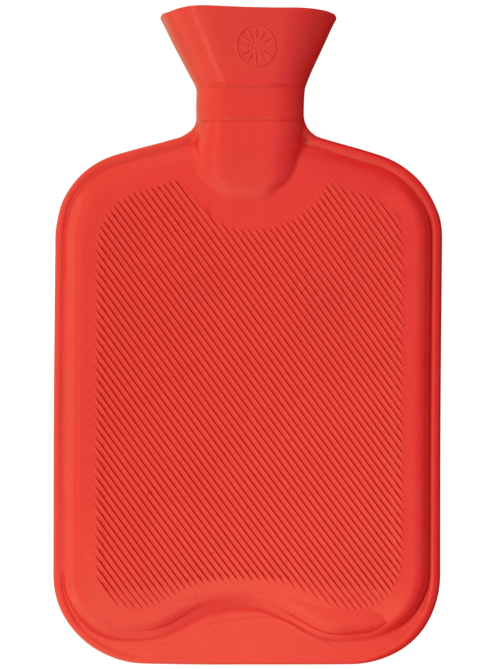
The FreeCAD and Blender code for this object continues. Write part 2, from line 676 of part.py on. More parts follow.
# the finger tab, widening upwards to rounded shoulders
tl, th, tt = P["tab_low_half"], P["tab_half"], P["tab_high"]
tab = sketch_on(stopper, "XY_Plane", "tab_outline")
rt = 6.0
tab.addGeometry(
    [
        line((-tl, d1 - 1.5), (tl, d1 - 1.5)),
        line((tl, d1 - 1.5), (th, d1 + tt - rt)),
        Part.Arc(V(th, d1 + tt - rt, 0), V(th - rt * 0.29, d1 + tt - rt * 0.29, 0), V(th - rt, d1 + tt, 0)),
        line((th - rt, d1 + tt), (-(th - rt), d1 + tt)),
        Part.Arc(V(-(th - rt), d1 + tt, 0), V(-(th - rt * 0.29), d1 + tt - rt * 0.29, 0), V(-th, d1 + tt - rt, 0)),
        line((-th, d1 + tt - rt), (-tl, d1 - 1.5)),
    ]
)
grip = stopper.newObject("PartDesign::Pad", "tab")
grip.Profile = tab
grip.Midplane = True
grip.setExpression("Length", "Sheet.tab_thick")
grip.Refine = False
doc.recompute()
half_tab = P["tab_thick"] / 2
tab_edges = edges_at(
    stopper.Shape,
    lambda e: all(abs(abs(p.z) - half_tab) < 1e-6 for p in points_of(e)) and max(p.y for p in points_of(e)) > d1 + 0.5,
)
softened = fillet(stopper, grip, tab_edges, "Sheet.tab_thick * 0.3", "tab_round")
before = stopper.Shape.Volume
start = P["ridge_start"]
a, b = P["ridge_root"] / 2, P["ridge_crest"] / 2
helix(
    stopper,
    "AdditiveHelix",
    "plug_thread",
    [(rc - 0.6, start - a - 0.25), (rc + hh, start - b), (rc + hh, start + b), (rc - 0.6, start + a + 0.25)],
    "Sheet.ridge_rise",
)
print("stopper", round(stopper.Shape.Volume), "thread adds", round(stopper.Shape.Volume - before), stopper.Shape.isValid(), len(stopper.Shape.Solids))

pieces = [bottle, insert, stopper, washer]
for piece in pieces:
    if piece.Placement != resting:
        piece.Placement = resting
doc.recompute()

for obj in doc.Objects:
    if "Invalid" in obj.State or "Error" in obj.State:
        raise RuntimeError("failed: %s %s" % (obj.Name, obj.State))
os.makedirs("parts", exist_ok=True)
for piece in pieces:
    shape = piece.Shape
    if shape.isNull() or not shape.isValid() or len(shape.Solids) != 1:
        raise RuntimeError("bad shape: %s, %d solids" % (piece.Label, len(shape.Solids)))
    shape = shape.Solids[0]
    shape.exportStep("parts/%s.step" % piece.Label)
    print(piece.Label, "volume", round(shape.Volume), "cubic mm")
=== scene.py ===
"""A red rubber hot water bottle lying on a pale floor, seen from straight above its front.

Lengths of the bottle are worked out in millimetres in the bottle's own plane:
x across, y from the bag's bottom edge to the mouth, z up from the parting plane.
put() turns them into metres in the shared frame.
"""
import math

import bmesh
import bpy
import numpy as np
from mathutils import Matrix, Vector, kdtree
from mathutils.geometry import delaunay_2d_cdt


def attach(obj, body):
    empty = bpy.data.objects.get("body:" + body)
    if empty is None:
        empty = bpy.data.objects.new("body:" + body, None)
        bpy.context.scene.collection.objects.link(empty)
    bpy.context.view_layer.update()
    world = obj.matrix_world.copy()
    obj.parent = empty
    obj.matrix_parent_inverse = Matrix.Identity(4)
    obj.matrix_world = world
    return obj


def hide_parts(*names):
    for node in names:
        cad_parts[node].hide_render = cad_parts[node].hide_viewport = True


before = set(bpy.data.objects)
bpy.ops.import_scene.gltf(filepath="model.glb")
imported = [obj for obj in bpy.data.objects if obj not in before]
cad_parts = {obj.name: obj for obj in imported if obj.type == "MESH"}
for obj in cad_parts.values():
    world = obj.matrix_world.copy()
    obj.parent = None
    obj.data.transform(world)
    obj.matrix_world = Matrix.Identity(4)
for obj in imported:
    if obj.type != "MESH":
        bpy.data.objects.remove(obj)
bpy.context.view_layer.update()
scene = bpy.context.scene

# ------------------------------------------------------------------ placing
LIE = math.radians(3.06)
LIE_C, LIE_S = math.cos(LIE), math.sin(LIE)
SHIFT_Y, SHIFT_Z = -167.572132, 8.270382


def put(p):
    """Bottle millimetres to metres in the shared frame."""
    p = np.asarray(p, float)
    return (
        np.column_stack(
            (
                p[:, 0],
                p[:, 1] * LIE_C - p[:, 2] * LIE_S + SHIFT_Y,
                p[:, 1] * LIE_S + p[:, 2] * LIE_C + SHIFT_Z,
            )
        )
        / 1000.0
    )


# ------------------------------------------------------------------ camera
cam_data = bpy.data.cameras.new("Camera")
camera = bpy.data.objects.new("Camera", cam_data)
scene.collection.objects.link(camera)
camera.location = put([[0.93, 170.7, 720.0]])[0]
camera.rotation_euler = (LIE, 0.0, 0.0)
cam_data.sensor_fit = "VERTICAL"
cam_data.sensor_height = 24.0
cam_data.lens = 49.9
cam_data.clip_start = 0.01
cam_data.clip_end = 20.0
scene.camera = camera


# ------------------------------------------------------------------ small maths
def smooth(a, b, t):
    t = np.clip((np.asarray(t, float) - a) / (b - a), 0.0, 1.0)
    return t * t * (3.0 - 2.0 * t)


def ramp(t, soft):
    """0 well below 0 and t well above it, with a soft corner."""
    return 0.5 * (t + np.sqrt(t * t + soft * soft))


def monotone(xs, ys):
    """A smooth curve through points, with no overshoot between them."""
    xs, ys = np.asarray(xs, float), np.asarray(ys, float)
    h = np.diff(xs)
    d = np.diff(ys) / h
    m = np.zeros(len(xs))
    m[0], m[-1] = d[0], d[-1]
    for i in range(1, len(xs) - 1):
        if d[i - 1] * d[i] > 0:
            w1, w2 = 2 * h[i] + h[i - 1], h[i] + 2 * h[i - 1]
            m[i] = (w1 + w2) / (w1 / d[i - 1] + w2 / d[i])

    def f(x):
        x = np.clip(np.asarray(x, float), xs[0], xs[-1])
        i = np.clip(np.searchsorted(xs, x) - 1, 0, len(xs) - 2)
        t = (x - xs[i]) / h[i]
        return (
            ys[i] * (1 + 2 * t) * (1 - t) ** 2
            + m[i] * h[i] * t * (1 - t) ** 2
            + ys[i + 1] * t * t * (3 - 2 * t)
            + m[i + 1] * h[i] * t * t * (t - 1)
        )

    return f


def waves(x, y, seed, scale, count=7):
    """A smooth field of about -1 to 1 with features of about that size."""
    rng = np.random.default_rng(seed)
    out = np.zeros(np.shape(x))
    for _ in range(count):
        a = rng.uniform(0, 2 * math.pi)
        k = rng.uniform(0.6, 1.5) * 2 * math.pi / scale
        out = out + np.sin((x * math.cos(a) + y * math.sin(a)) * k + rng.uniform(0, 6.3))
    return out / count * 1.6


def distance(p, line, closed=False):
    """Distance of each point to a polyline."""
    a = line if closed else line[:-1]
    b = np.roll(line, -1, axis=0) if closed else line[1:]
    ab = b - a
    ab2 = np.maximum((ab**2).sum(1), 1e-12)
    out = np.empty(len(p))
    for s in range(0, len(p), 3000):
        q = p[s : s + 3000, None, :] - a[None]
        t = np.clip((q * ab).sum(2) / ab2, 0.0, 1.0)
        out[s : s + 3000] = np.sqrt(((q - t[..., None] * ab) ** 2).sum(2).min(1))
    return out


def inside(p, loop):
    """Whether each point is inside a closed loop."""
    x1, y1 = loop[:, 0], loop[:, 1]
    x2, y2 = np.roll(x1, -1), np.roll(y1, -1)
    dy = np.where(y2 == y1, 1e-12, y2 - y1)
    out = np.empty(len(p), bool)
    for s in range(0, len(p), 3000):
        px, py = p[s : s + 3000, 0:1], p[s : s + 3000, 1:2]
        hit = ((y1 > py) != (y2 > py)) & (px < (x2 - x1) * (py - y1) / dy + x1)
        out[s : s + 3000] = hit.sum(1) % 2 == 1
    return out


def signed(p, loop):
    """Distance to a closed loop, positive inside."""
    return np.where(inside(p, loop), 1.0, -1.0) * distance(p, loop, closed=True)


def arc(cx, cy, r, a0, a1, step):
    n = max(3, int(math.ceil(abs(math.radians(a1 - a0)) * r / step)) + 1)
    a = np.radians(np.linspace(a0, a1, n))
    return np.column_stack((cx + r * np.cos(a), cy + r * np.sin(a)))


def run(p, q, step):
    p, q = np.asarray(p, float), np.asarray(q, float)
    n = max(2, int(math.ceil(np.linalg.norm(q - p) / step)) + 1)
    return p + np.linspace(0, 1, n)[:, None] * (q - p)


def chain(*parts):
    out = [parts[0]]
    for part in parts[1:]:
        out.append(part[1:] if np.linalg.norm(part[0] - out[-1][-1]) < 0.4 else part)
    return np.vstack(out)


def evened(line, steps):
    """The line's points again, spaced by steps(x, y) along it."""
    seg = np.linalg.norm(np.diff(line, axis=0), axis=1)
    s = np.concatenate(([0], np.cumsum(seg)))
    out, at = [0.0], 0.0
    while at < s[-1]:
        x, y = np.interp(at, s, line[:, 0]), np.interp(at, s, line[:, 1])
        at += steps(x, y)
        out.append(at)
    out = np.array(out)
    out *= s[-1] / out[-1]
    return np.column_stack((np.interp(out, s, line[:, 0]), np.interp(out, s, line[:, 1])))


def normals_of(line, closed=False):
    """Unit normals to the left of the way along the line."""
    if closed:
        t = np.roll(line, -1, axis=0) - np.roll(line, 1, axis=0)
    else:
        t = np.gradient(line, axis=0)
    t /= np.linalg.norm(t, axis=1)[:, None]
    return np.column_stack((-t[:, 1], t[:, 0]))


# ------------------------------------------------------------------ neck and funnel
NECK_TOP = 298.9


def neck_top(y):
    """Half width and half depth of the neck and funnel above the shoulders."""
    t = ramp(y - NECK_TOP, 2.6)
    return 27.85 + 0.508 * t, 15.84 + 0.2945 * t


JOIN = 285.0  # below it the neck grows out of the bag, above it it stands alone
W_JOIN, B_JOIN = (float(v) for v in neck_top(JOIN))
_low_w = monotone([229, 236, 243, 250, 257, 263, 270], [8, 12.4, 18.4, 25.0, 27.3, W_JOIN - 0.02, W_JOIN])
_low_b = monotone([229, 236, 240, 243, 250, 257, 263, 270], [4, 6.9, 9.0, 10.7, 12.9, 14.4, 15.4, B_JOIN])


def neck(y):
    y = np.asarray(y, float)
    w1, b1 = neck_top(y)
    top = y > JOIN
    w = np.where(top, w1, _low_w(y))
    b = np.where(top, b1, _low_b(y))
    sink = np.clip(229 - y, 0, None)
    return w, np.maximum(b - 0.6 * sink, 0.1)


def across(x, w, b):
    """How far x is round the section's side, from 0 on the flat to b at the edge."""
    f = w - b
    return ramp(np.abs(x) - f, 3.0) * b / ramp(b, 3.0)


def band_beads(x, y):
    """The two fine beads that edge the neck's grained band."""
    out = 0.0
    for y0, seed, high in ((280.15, 3, 0.62), (297.45, 4, 0.62)):
        sway = 0.16 * waves(x, 0 * x, seed, 21.0) + 0.05 * waves(x, 0 * x, seed + 8, 6.0)
        size = high * (1.0 + 0.35 * waves(x, 0 * x, seed + 20, 12.0))
        out = out + size * np.exp(-(((y - y0 - sway) / 0.50) ** 2))
    # below each bead the wall is set in a little
    return out - 0.16 * smooth(280.5, 281.3, y) * (1 - smooth(296.6, 297.2, y))


# ------------------------------------------------------------------ outline of the bag
TILT = math.radians(15.8)
NX, NY = math.sin(TILT), math.cos(TILT)
SHX, SHY, SHR = 55.1, 220.7, 44.9
SADDLE = 12.5
end_x, end_y = SHX + SHR * NX, SHY + SHR * NY
sad_x = W_JOIN + SADDLE
sad_y = end_y + (SADDLE - (sad_x - end_x) * NX) / NY
right = chain(
    run((0, 0), (54, 0), 1.0),
    arc(54, 46, 46, -90, 0, 0.8),
    run((100, 46), (100, SHY), 1.0),
    arc(SHX, SHY, SHR, 0, 90 - math.degrees(TILT), 0.8),
    run((end_x, end_y), (sad_x - SADDLE * NX, sad_y - SADDLE * NY), 1.0),
    arc(sad_x, sad_y, SADDLE, 270 - math.degrees(TILT), 180, 0.3),
    run((W_JOIN, sad_y), (W_JOIN, JOIN), 0.5),
)


def edge_steps(x, y):
    x = abs(x)
    if y > 278.6 and y < 282.0:
        return 0.3
    if y > 268 and x < 42:
        return 0.75
    if y > 200:
        return 2.0 if x > 60 else 2.6
    if y < 48 and x > 50:
        return 2.0
    return 4.0


right = evened(right, edge_steps)
left = right[::-1] * (-1, 1)
OUTLINE = np.vstack((left, right[1:]))  # left neck, down, along the bottom, up to the right neck
OUT_N = normals_of(OUTLINE)  # to the left of that way, so inwards
OUT_N[0] = (1, 0)
OUT_N[-1] = (-1, 0)

# ------------------------------------------------------------------ outline of the raised panel
crease_top = chain(
    run((94.8, 48), (94.8, SHY), 1.0),
    arc(SHX, SHY, 39.7, 0, 90 - math.degrees(TILT), 0.8),
    run((SHX + 39.7 * NX, SHY + 39.7 * NY), (24.0, 270.8), 1.0),
    run((24.0, 270.8), (18.0, 272.0), 1.0),
)
wave_knots = np.array(
    [
        (-94.8, 48.0), (-94.2, 40.5), (-91.6, 32.5), (-87.2, 25.6), (-81.0, 19.6), (-74.0, 15.6), (-66.0, 13.7),
        (-59.5, 13.3), (-53.5, 13.5), (-47.5, 14.3), (-42.2, 15.7), (-37.8, 17.5), (-33.5, 19.7), (-29.0, 22.4),
        (-24.6, 24.7), (-20.0, 26.4), (-15.6, 27.7), (-10.0, 28.9), (-4.3, 29.5), (1.0, 29.7), (6.7, 29.1),
        (11.8, 27.6), (17.0, 25.3), (22.7, 22.3), (27.8, 19.3), (33.0, 16.5), (38.2, 14.4), (43.0, 13.3),
        (48.6, 12.9), (57.3, 13.5), (65.0, 14.4), (72.3, 16.4), (78.4, 19.4), (83.9, 23.6), (88.4, 29.0),
        (92.0, 35.6), (94.2, 42.0), (94.8, 48.0),
    ]
)


def spline(knots, step):
    """A Catmull-Rom line through the knots."""
    k = np.vstack((2 * knots[0] - knots[1], knots, 2 * knots[-1] - knots[-2]))
    out = []
    for i in range(1, len(k) - 2):
        n = max(2, int(np.linalg.norm(k[i + 1] - k[i]) / step))
        t = np.linspace(0, 1, n, endpoint=False)[:, None]
        out.append(
            0.5
            * (
                2 * k[i]
                + (k[i + 1] - k[i - 1]) * t
                + (2 * k[i - 1] - 5 * k[i] + 4 * k[i + 1] - k[i + 2]) * t**2
                + (3 * k[i] - k[i - 1] - 3 * k[i + 1] + k[i + 2]) * t**3
            )
        )
    out.append(k[-2:-1])
    return np.vstack(out)


CREASE_FINE = chain(
    spline(wave_knots, 1.0),
    crease_top[1:],
    (crease_top[::-1] * (-1, 1))[:-1],
)
# on the right the crease lies further in from the edge
CREASE_FINE[:, 0] -= 0.45 * smooth(40, 88, CREASE_FINE[:, 0])
CREASE_FINE[:, 1] -= 0.60 * smooth(226, 250, CREASE_FINE[:, 1]) * smooth(30, 60, CREASE_FINE[:, 0])


def crease_steps(x, y):
    x = abs(x)
    if y > 200:
        return 2.0 if x > 60 else 2.6
    if y < 50:
        return 1.9
    return 4.0


CREASE = evened(CREASE_FINE, crease_steps)
if np.linalg.norm(CREASE[0] - CREASE[-1]) < 1.0:
    CREASE = CREASE[:-1]
CREASE_N = normals_of(CREASE, closed=True)  # inwards, since the loop runs counter-clockwise

# ------------------------------------------------------------------ ribs
PITCH = 2.985
RIB_K = 2 * math.pi / PITCH
RIB_A = math.radians(53.8)
ALONG = np.array((math.cos(RIB_A), -math.sin(RIB_A)))
OVER = np.array((math.sin(RIB_A), math.cos(RIB_A)))


_sway = monotone(
    [0, 7.4, 12.6, 17.7, 25.5, 33, 45, 64, 100, 137, 170, 200, 220, 230, 235, 240, 245.5, 250.7, 256, 261, 263.6, 266.2,
     268.5, 272.4, 274.5, 276.6, 279, 281, 283, 287, 292, 297, 300, 303, 307.6, 313, 318, 323, 334],
    [-0.05, 0.05, 0.0, -0.14, -0.49, -0.68, -0.73, -0.71, -0.66, -0.49, -0.2, 0.09, 0.28, 0.35, 0.1, -0.17, -0.26, -0.34,
     -0.53, -0.61, -0.58, -0.16, 0.1, 0.5, 0.75, 1.0, 1.17, 1.13, 0.98, 0.90, 1.02, 1.22, 1.14, 0.89, 0.64, 0.49, 0.34, 0.2, 0.1],
)


def sway_x(y):
    """The bag isn't quite straight: how far its middle line lies to the right."""
    return _sway(y)


def rib_phase(x, y):
    """Turns of the rib pattern, whole numbers at each rib's foot on its right side."""
    x = x + sway_x(y)
    a, b = x / 100.0, (y - 140.0) / 100.0
    bend = (
        1.2492 - 0.0776 * a + 0.2410 * b + 1.0248 * a * a + 0.3233 * a * b - 1.2816 * b * b
        + 2.1219 * a**3 + 0.3325 * a * a * b - 1.9628 * a * b * b + 0.2383 * b**3
    )
    return (RIB_K * (x * OVER[0] + y * OVER[1]) + bend - math.pi) / (2 * math.pi)


RIB_FIELD = spline(
    np.array(
        [
            (-34.9, 251.6), (-51.4, 246.6), (-61.8, 242.9), (-69.6, 236.6), (-75.2, 228.0), (-77.4, 216.0),
            (-77.6, 200.0), (-77.4, 150.0), (-77.2, 100.0), (-77.0, 60.0), (-76.2, 46.0), (-72.6, 37.6), (-66.6, 32.4),
            (-59.6, 30.2), (-52.8, 30.4), (-46.0, 33.0), (-35.0, 38.8), (-23.6, 43.0), (-12.0, 45.0), (0.4, 45.4),
            (10.0, 44.9), (19.2, 42.9), (30.2, 38.2), (41.4, 32.6), (49.0, 30.2), (56.4, 29.8), (64.0, 32.4),
            (70.8, 37.8), (75.6, 44.4), (78.2, 52.0), (79.2, 62.0), (79.2, 100.0), (79.0, 150.0), (78.8, 205.0),
            (78.2, 220.0), (76.6, 229.6), (70.9, 237.6), (62.3, 243.0), (50.5, 246.9), (41.4, 250.4), (38.4, 246.6),
            (35.4, 241.4), (31.0, 236.9), (21.7, 230.4), (11.6, 226.6), (1.0, 225.2), (-8.7, 226.6), (-17.3, 231.2),
            (-24.0, 238.0), (-30.0, 246.0), (-34.9, 251.6),
        ]
    ),
    3.0,
)[:-1]
RIB_FIELD[:, 0] *= 1 + 0.0165 * (1 - smooth(226, 244, RIB_FIELD[:, 1]))
RIB_FIELD[:, 1] -= 1.4 * (1 - smooth(60, 120, RIB_FIELD[:, 1]))


def rib_form(phase):
    """Height of the rib's section, 0 to 1: a soft left flank, a round crest and a steep right flank."""
    t = (phase - np.floor(phase)) * PITCH  # mm to the right of a rib's right foot
    crest = PITCH - 0.42
    left = np.clip((t - (crest - 1.30)) / 1.30, 0, 1) ** 1.5
    right_ = np.clip((PITCH - t) / 0.42, 0, 1)
    return np.where(t < crest, left, right_ * right_ * (3 - 2 * right_))


RIB_HIGH = 0.74

# ------------------------------------------------------------------ fine lines and dimples of the mould
FINE_LINES = [
    (spline(np.array([(-53.8, 10.9), (-42.4, 9.6), (-31.2, 14.8), (-23.6, 19.2), (-16.2, 21.5), (-0.8, 23.7),
                      (11.6, 24.5), (23.0, 20.7), (30.6, 15.4), (42.0, 10.2)]), 1.2), 0.13, 0.42),
    (spline(np.array([(-8.0, 26.3), (2.0, 27.0), (10.5, 26.2), (19.0, 23.0), (28.8, 18.2), (36.0, 13.8), (42.6, 10.4)]), 1.2), 0.09, 0.34),
]
DIMPLES = [(-25.4, 36.1, 0.20, 0.75), (-18.0, 17.7, -0.22, 0.8), (30.5, 7.0, 0.10, 0.6), (-52.0, 5.2, 0.10, 0.6)]

PANEL = 9.5


def bevel_form(e, run_, radius, lean, foot):
    """Height of the panel's sloping edge, e inwards from the crease: a plane slope and an arc up to the panel."""
    rise = math.tan(lean)
    low_ = PANEL - run_ * rise - radius * (1 - math.cos(lean))
    s = np.clip((run_ + radius * math.sin(lean) - e) / radius, 0.0, math.sin(lean))
    round_ = run_ * rise + radius * (np.sqrt(1 - s * s) - math.cos(lean))
    start = rise - foot * (1.0 - e)  # steeper at its foot
    return low_ + np.where(e < 1.0, start, np.where(e < run_, e * rise, round_))


def bevel(e, x):
    """The left edge has been pressed flatter than the right one."""
    right_ = bevel_form(e, 3.25, 6.7, math.radians(53.5), 2.4)
    left_ = bevel_form(e, 5.3, 7.0, math.radians(43.0), 1.0)
    side_ = smooth(-25.0, 25.0, x)
    return left_ + (right_ - left_) * side_


def soft_max(a, b, k):
    h = np.clip(0.5 + 0.5 * (a - b) / k, 0, 1)
    return b + (a - b) * h + k * h * (1 - h)


def bag_height(p, d, e, front):
    """Height of the bag's outer face, without the neck."""
    x, y = p[:, 0], p[:, 1]
    low = (1 - smooth(4, 40, y)) * (1 - smooth(48, 78, np.abs(x)))  # the flange's middle part at the bottom
    to_right = smooth(60, 92, x)
    to_left = smooth(60, 92, -x)
    width = 3.3 - 1.6 * low + 0.8 * to_right
    t = np.clip(1 - d / width, 0, 1)
    full = 1.7 - 0.25 * to_right
    rim = (3.05 - 0.55 * low) * (1 - t**full) ** (1 / full)
    bearing = np.degrees(np.arctan2(np.clip(y - SHY, 0, None), np.clip(np.abs(x) - SHX, 0.5, None)))
    upward = smooth(24.0, 62.0, bearing)
    deep = (0.55 * (1 - low) + 0.10 * low + 0.25 * to_left + 0.10 * to_right) * (1 - 0.5 * upward * smooth(0, 30, x))
    at = 5.0 - 0.7 * low + 0.15 * to_right + to_left * (0.15 - 1.1 * smooth(220, 246, y))
    groove = deep * np.exp(-(((d - at) / (1.25 - 0.65 * low - 0.30 * to_left - 0.35 * to_right)) ** 2))
    dip = 0.80 * np.clip(1 + e / (2.2 - 1.2 * low), 0, 1) ** 1.3 * (1 - 0.85 * low) + np.clip(e, 0, None) * 0.4
    flange = rim - np.maximum(groove, dip)
    flange = flange - 3.6 * smooth(279.0, 284.0, y)
    steep = bevel(e, x)
    # the bag lies flatter towards its bottom seam and under the neck, with hardly a step there
    ep = np.clip(e, 0, None)
    soft_low = 2.25 + 0.34 * np.minimum(e, 0) + 7.0 * (1 - np.exp(-((ep / 21.0) ** 1.0))) + 0.25 * smooth(0.0, 5.2, e)
    soft_low = soft_low + 0.18 * smooth(-0.1, 0.9, e) - 0.10 * np.exp(-(((e + 0.15) / 0.4) ** 2))
    m_low = (1 - smooth(20, 60, y)) * (1 - smooth(58, 90, np.abs(x)))
    soft_top = 2.2 + 0.7 * np.minimum(e, 0) + 7.3 * (1 - np.exp(-((ep / 8.6) ** 1.05)))
    m_top = np.maximum(smooth(246, 264, y), 0.92 * upward)
    panel = steep * (1 - m_low) + soft_low * m_low
    panel = panel * (1 - m_top) + soft_top * m_top
    z = soft_max(flange, panel, 0.3)
    inner = smooth(6, 16, e)
    z = z - 0.16 * inner * (0.5 + 0.5 * waves(x, y, 11, 120.0)) - 0.03 * (1 - inner) * waves(x, y, 12, 45.0) * smooth(0.8, 2.2, d)
    if front:
        sd = signed(p, RIB_FIELD) if len(p) < 400000 else None
        fade = smooth(0.0, 3.4, sd + 0.25 * waves(x, y, 15, 7.0))
        z = z + RIB_HIGH * fade * rib_form(rib_phase(x, y)) * (1 + 0.06 * waves(x, y, 14, 26.0))
        for line, high, wide in FINE_LINES:
            near = (y < 36) & (np.abs(x) < 62)
            if near.any():
                dl = distance(p[near], line)
                ends = smooth(-60, -44, x[near]) * (1 - smooth(40, 52, x[near]))
                z[near] += high * ends * np.exp(-((dl / wide) ** 2))
        for cx, cy, deep, wide in DIMPLES:
            z = z - deep * np.exp(-(((x - cx) ** 2 + (y - cy) ** 2) / wide**2))
    return z


def face_height(p, d, e, front):
    """Height of the outer face, neck and bag in one, at points in plan."""
    x, y = p[:, 0], p[:, 1]
    base = bag_height(p, d, e, front)
    w, b = neck(y)
    q = across(x, w, b)
    grow = 1 + band_beads(x, y) / b if front else 1 + 0.8 * band_beads(-x, y) / b
    k = 0.8 + 0.9 * smooth(262, 272, y) + 2.0 * (1 - smooth(-24, 2, x)) + 1.6 * (1 - smooth(240, 247, y))
    lo, hi = np.zeros(len(p)), np.full(len(p), 34.0)
    for _ in range(30):
        mid = 0.5 * (lo + hi)
        fa = mid - base
        fb = np.hypot(q, mid / grow) - b
        h = np.clip(0.5 + 0.5 * (fb - fa) / k, 0, 1)
        f = fb + (fa - fb) * h - k * h * (1 - h)
        under = f < 0
        lo = np.where(under, mid, lo)
        hi = np.where(under, hi, mid)
    return 0.5 * (lo + hi)


# ------------------------------------------------------------------ building the mesh
class Skin:
    def __init__(self):
        self.parts, self.n, self.faces = [], 0, []

    def add(self, p):
        p = np.asarray(p, float)
        self.parts.append(p)
        self.n += len(p)
        return np.arange(self.n - len(p), self.n)

    def strip(self, a, b):
        self.faces.extend(zip(a[:-1].tolist(), a[1:].tolist(), b[1:].tolist(), b[:-1].tolist()))

    def points(self):
        return np.vstack(self.parts)


def lattice(x0, x1, y0, y1, step, skew=0.5):
    """Evenly spread points in rows."""
    rows = []
    for j, y in enumerate(np.arange(y0, y1, step * 0.87)):
        xs = np.arange(x0 + (step * skew if j % 2 else 0.0), x1, step)
        rows.append(np.column_stack((xs, np.full(len(xs), y))))
    return np.vstack(rows)


def apart(new, old, gap):
    """The new points that are at least gap from the old ones."""
    if not len(old) or not len(new):
        return new
    tree = kdtree.KDTree(len(old))
    for i, (x, y) in enumerate(old):
        tree.insert((x, y, 0.0), i)
    tree.balance()
    keep = [tree.find((x, y, 0.0))[2] >= gap for x, y in new]
    return new[np.array(keep)]


def fill(skin, loop2, loop_ids, extra, lines, height):
    """Triangles over the loop, through extra points and along extra lines. height gives x, y, z of new points."""
    pts = [loop2, extra]
    edges = [(i, (i + 1) % len(loop2)) for i in range(len(loop2))]
    at = len(loop2) + len(extra)
    for line, closed in lines:
        n = len(line)
        edges += [(at + i, at + i + 1) for i in range(n - 1)] + ([(at + n - 1, at)] if closed else [])
        pts.append(line)
        at += n
    pts = np.vstack([p for p in pts if len(p)])
    out = delaunay_2d_cdt([tuple(p) for p in pts], edges, [], 0, 1e-6, True)
    verts = np.array([(v[0], v[1]) for v in out[0]])
    source = out[3]
    tris = np.array(out[2])
    mid = verts[tris].mean(1)
    a, b, c = (verts[tris[:, k]] for k in range(3))
    size = np.abs((b[:, 0] - a[:, 0]) * (c[:, 1] - a[:, 1]) - (b[:, 1] - a[:, 1]) * (c[:, 0] - a[:, 0]))
    tris = tris[inside(mid, loop2) & (size > 2e-3)]
    ids = np.full(len(verts), -1)
    for i, src in enumerate(source):
        for s in src:
            if s < len(loop2):
                ids[i] = loop_ids[s]
    fresh = np.where(ids < 0)[0]
    used = np.zeros(len(verts), bool)
    used[tris.ravel()] = True
    fresh = fresh[used[fresh]]
    ids[fresh] = skin.add(height(verts[fresh]))
    skin.faces.extend(map(tuple, ids[tris].tolist()))
    return len(tris)


# the ring of points round the neck, from the right edge over the front to the left edge
ALPHA = np.radians(3.9 * np.arange(1, 12))
ALPHA = np.concatenate((ALPHA, np.linspace(ALPHA[-1], math.pi / 2, 11)[1:]))
TAU = np.linspace(1, -1, 29)[1:-1]
BAND = 12  # rings of the rim that follow the outline
SEAM = 0.12


def ring_half(w, b):
    """x and z of the front half of the neck's section, right edge to left edge."""
    side = np.concatenate(([w + SEAM, w], w - b * (1 - np.cos(ALPHA))))
    x = np.concatenate((side, (w - b) * TAU, -side[::-1]))
    q = across(x, w, b)
    z = np.sqrt(np.clip(b * b - q * q, 0, None))
    z[[0, -1]] = 0.0
    z[[1, -2]] = 0.24
    return x, z


HALF = 2 * (2 + len(ALPHA)) + len(TAU) - 1
DEPTHS = np.concatenate(([-SEAM, 0.0], B_JOIN * (1 - np.cos(ALPHA[:11]))))

skin = Skin()
outline_ids = None
side_rings = {}
top_ids = {}
x_join, _ = ring_half(W_JOIN, B_JOIN)


def near_neck(p, gap=0.0):
    w, _ = neck(p[:, 1])
    return (p[:, 1] > 262) & (np.abs(p[:, 0]) < 30.5 + gap)


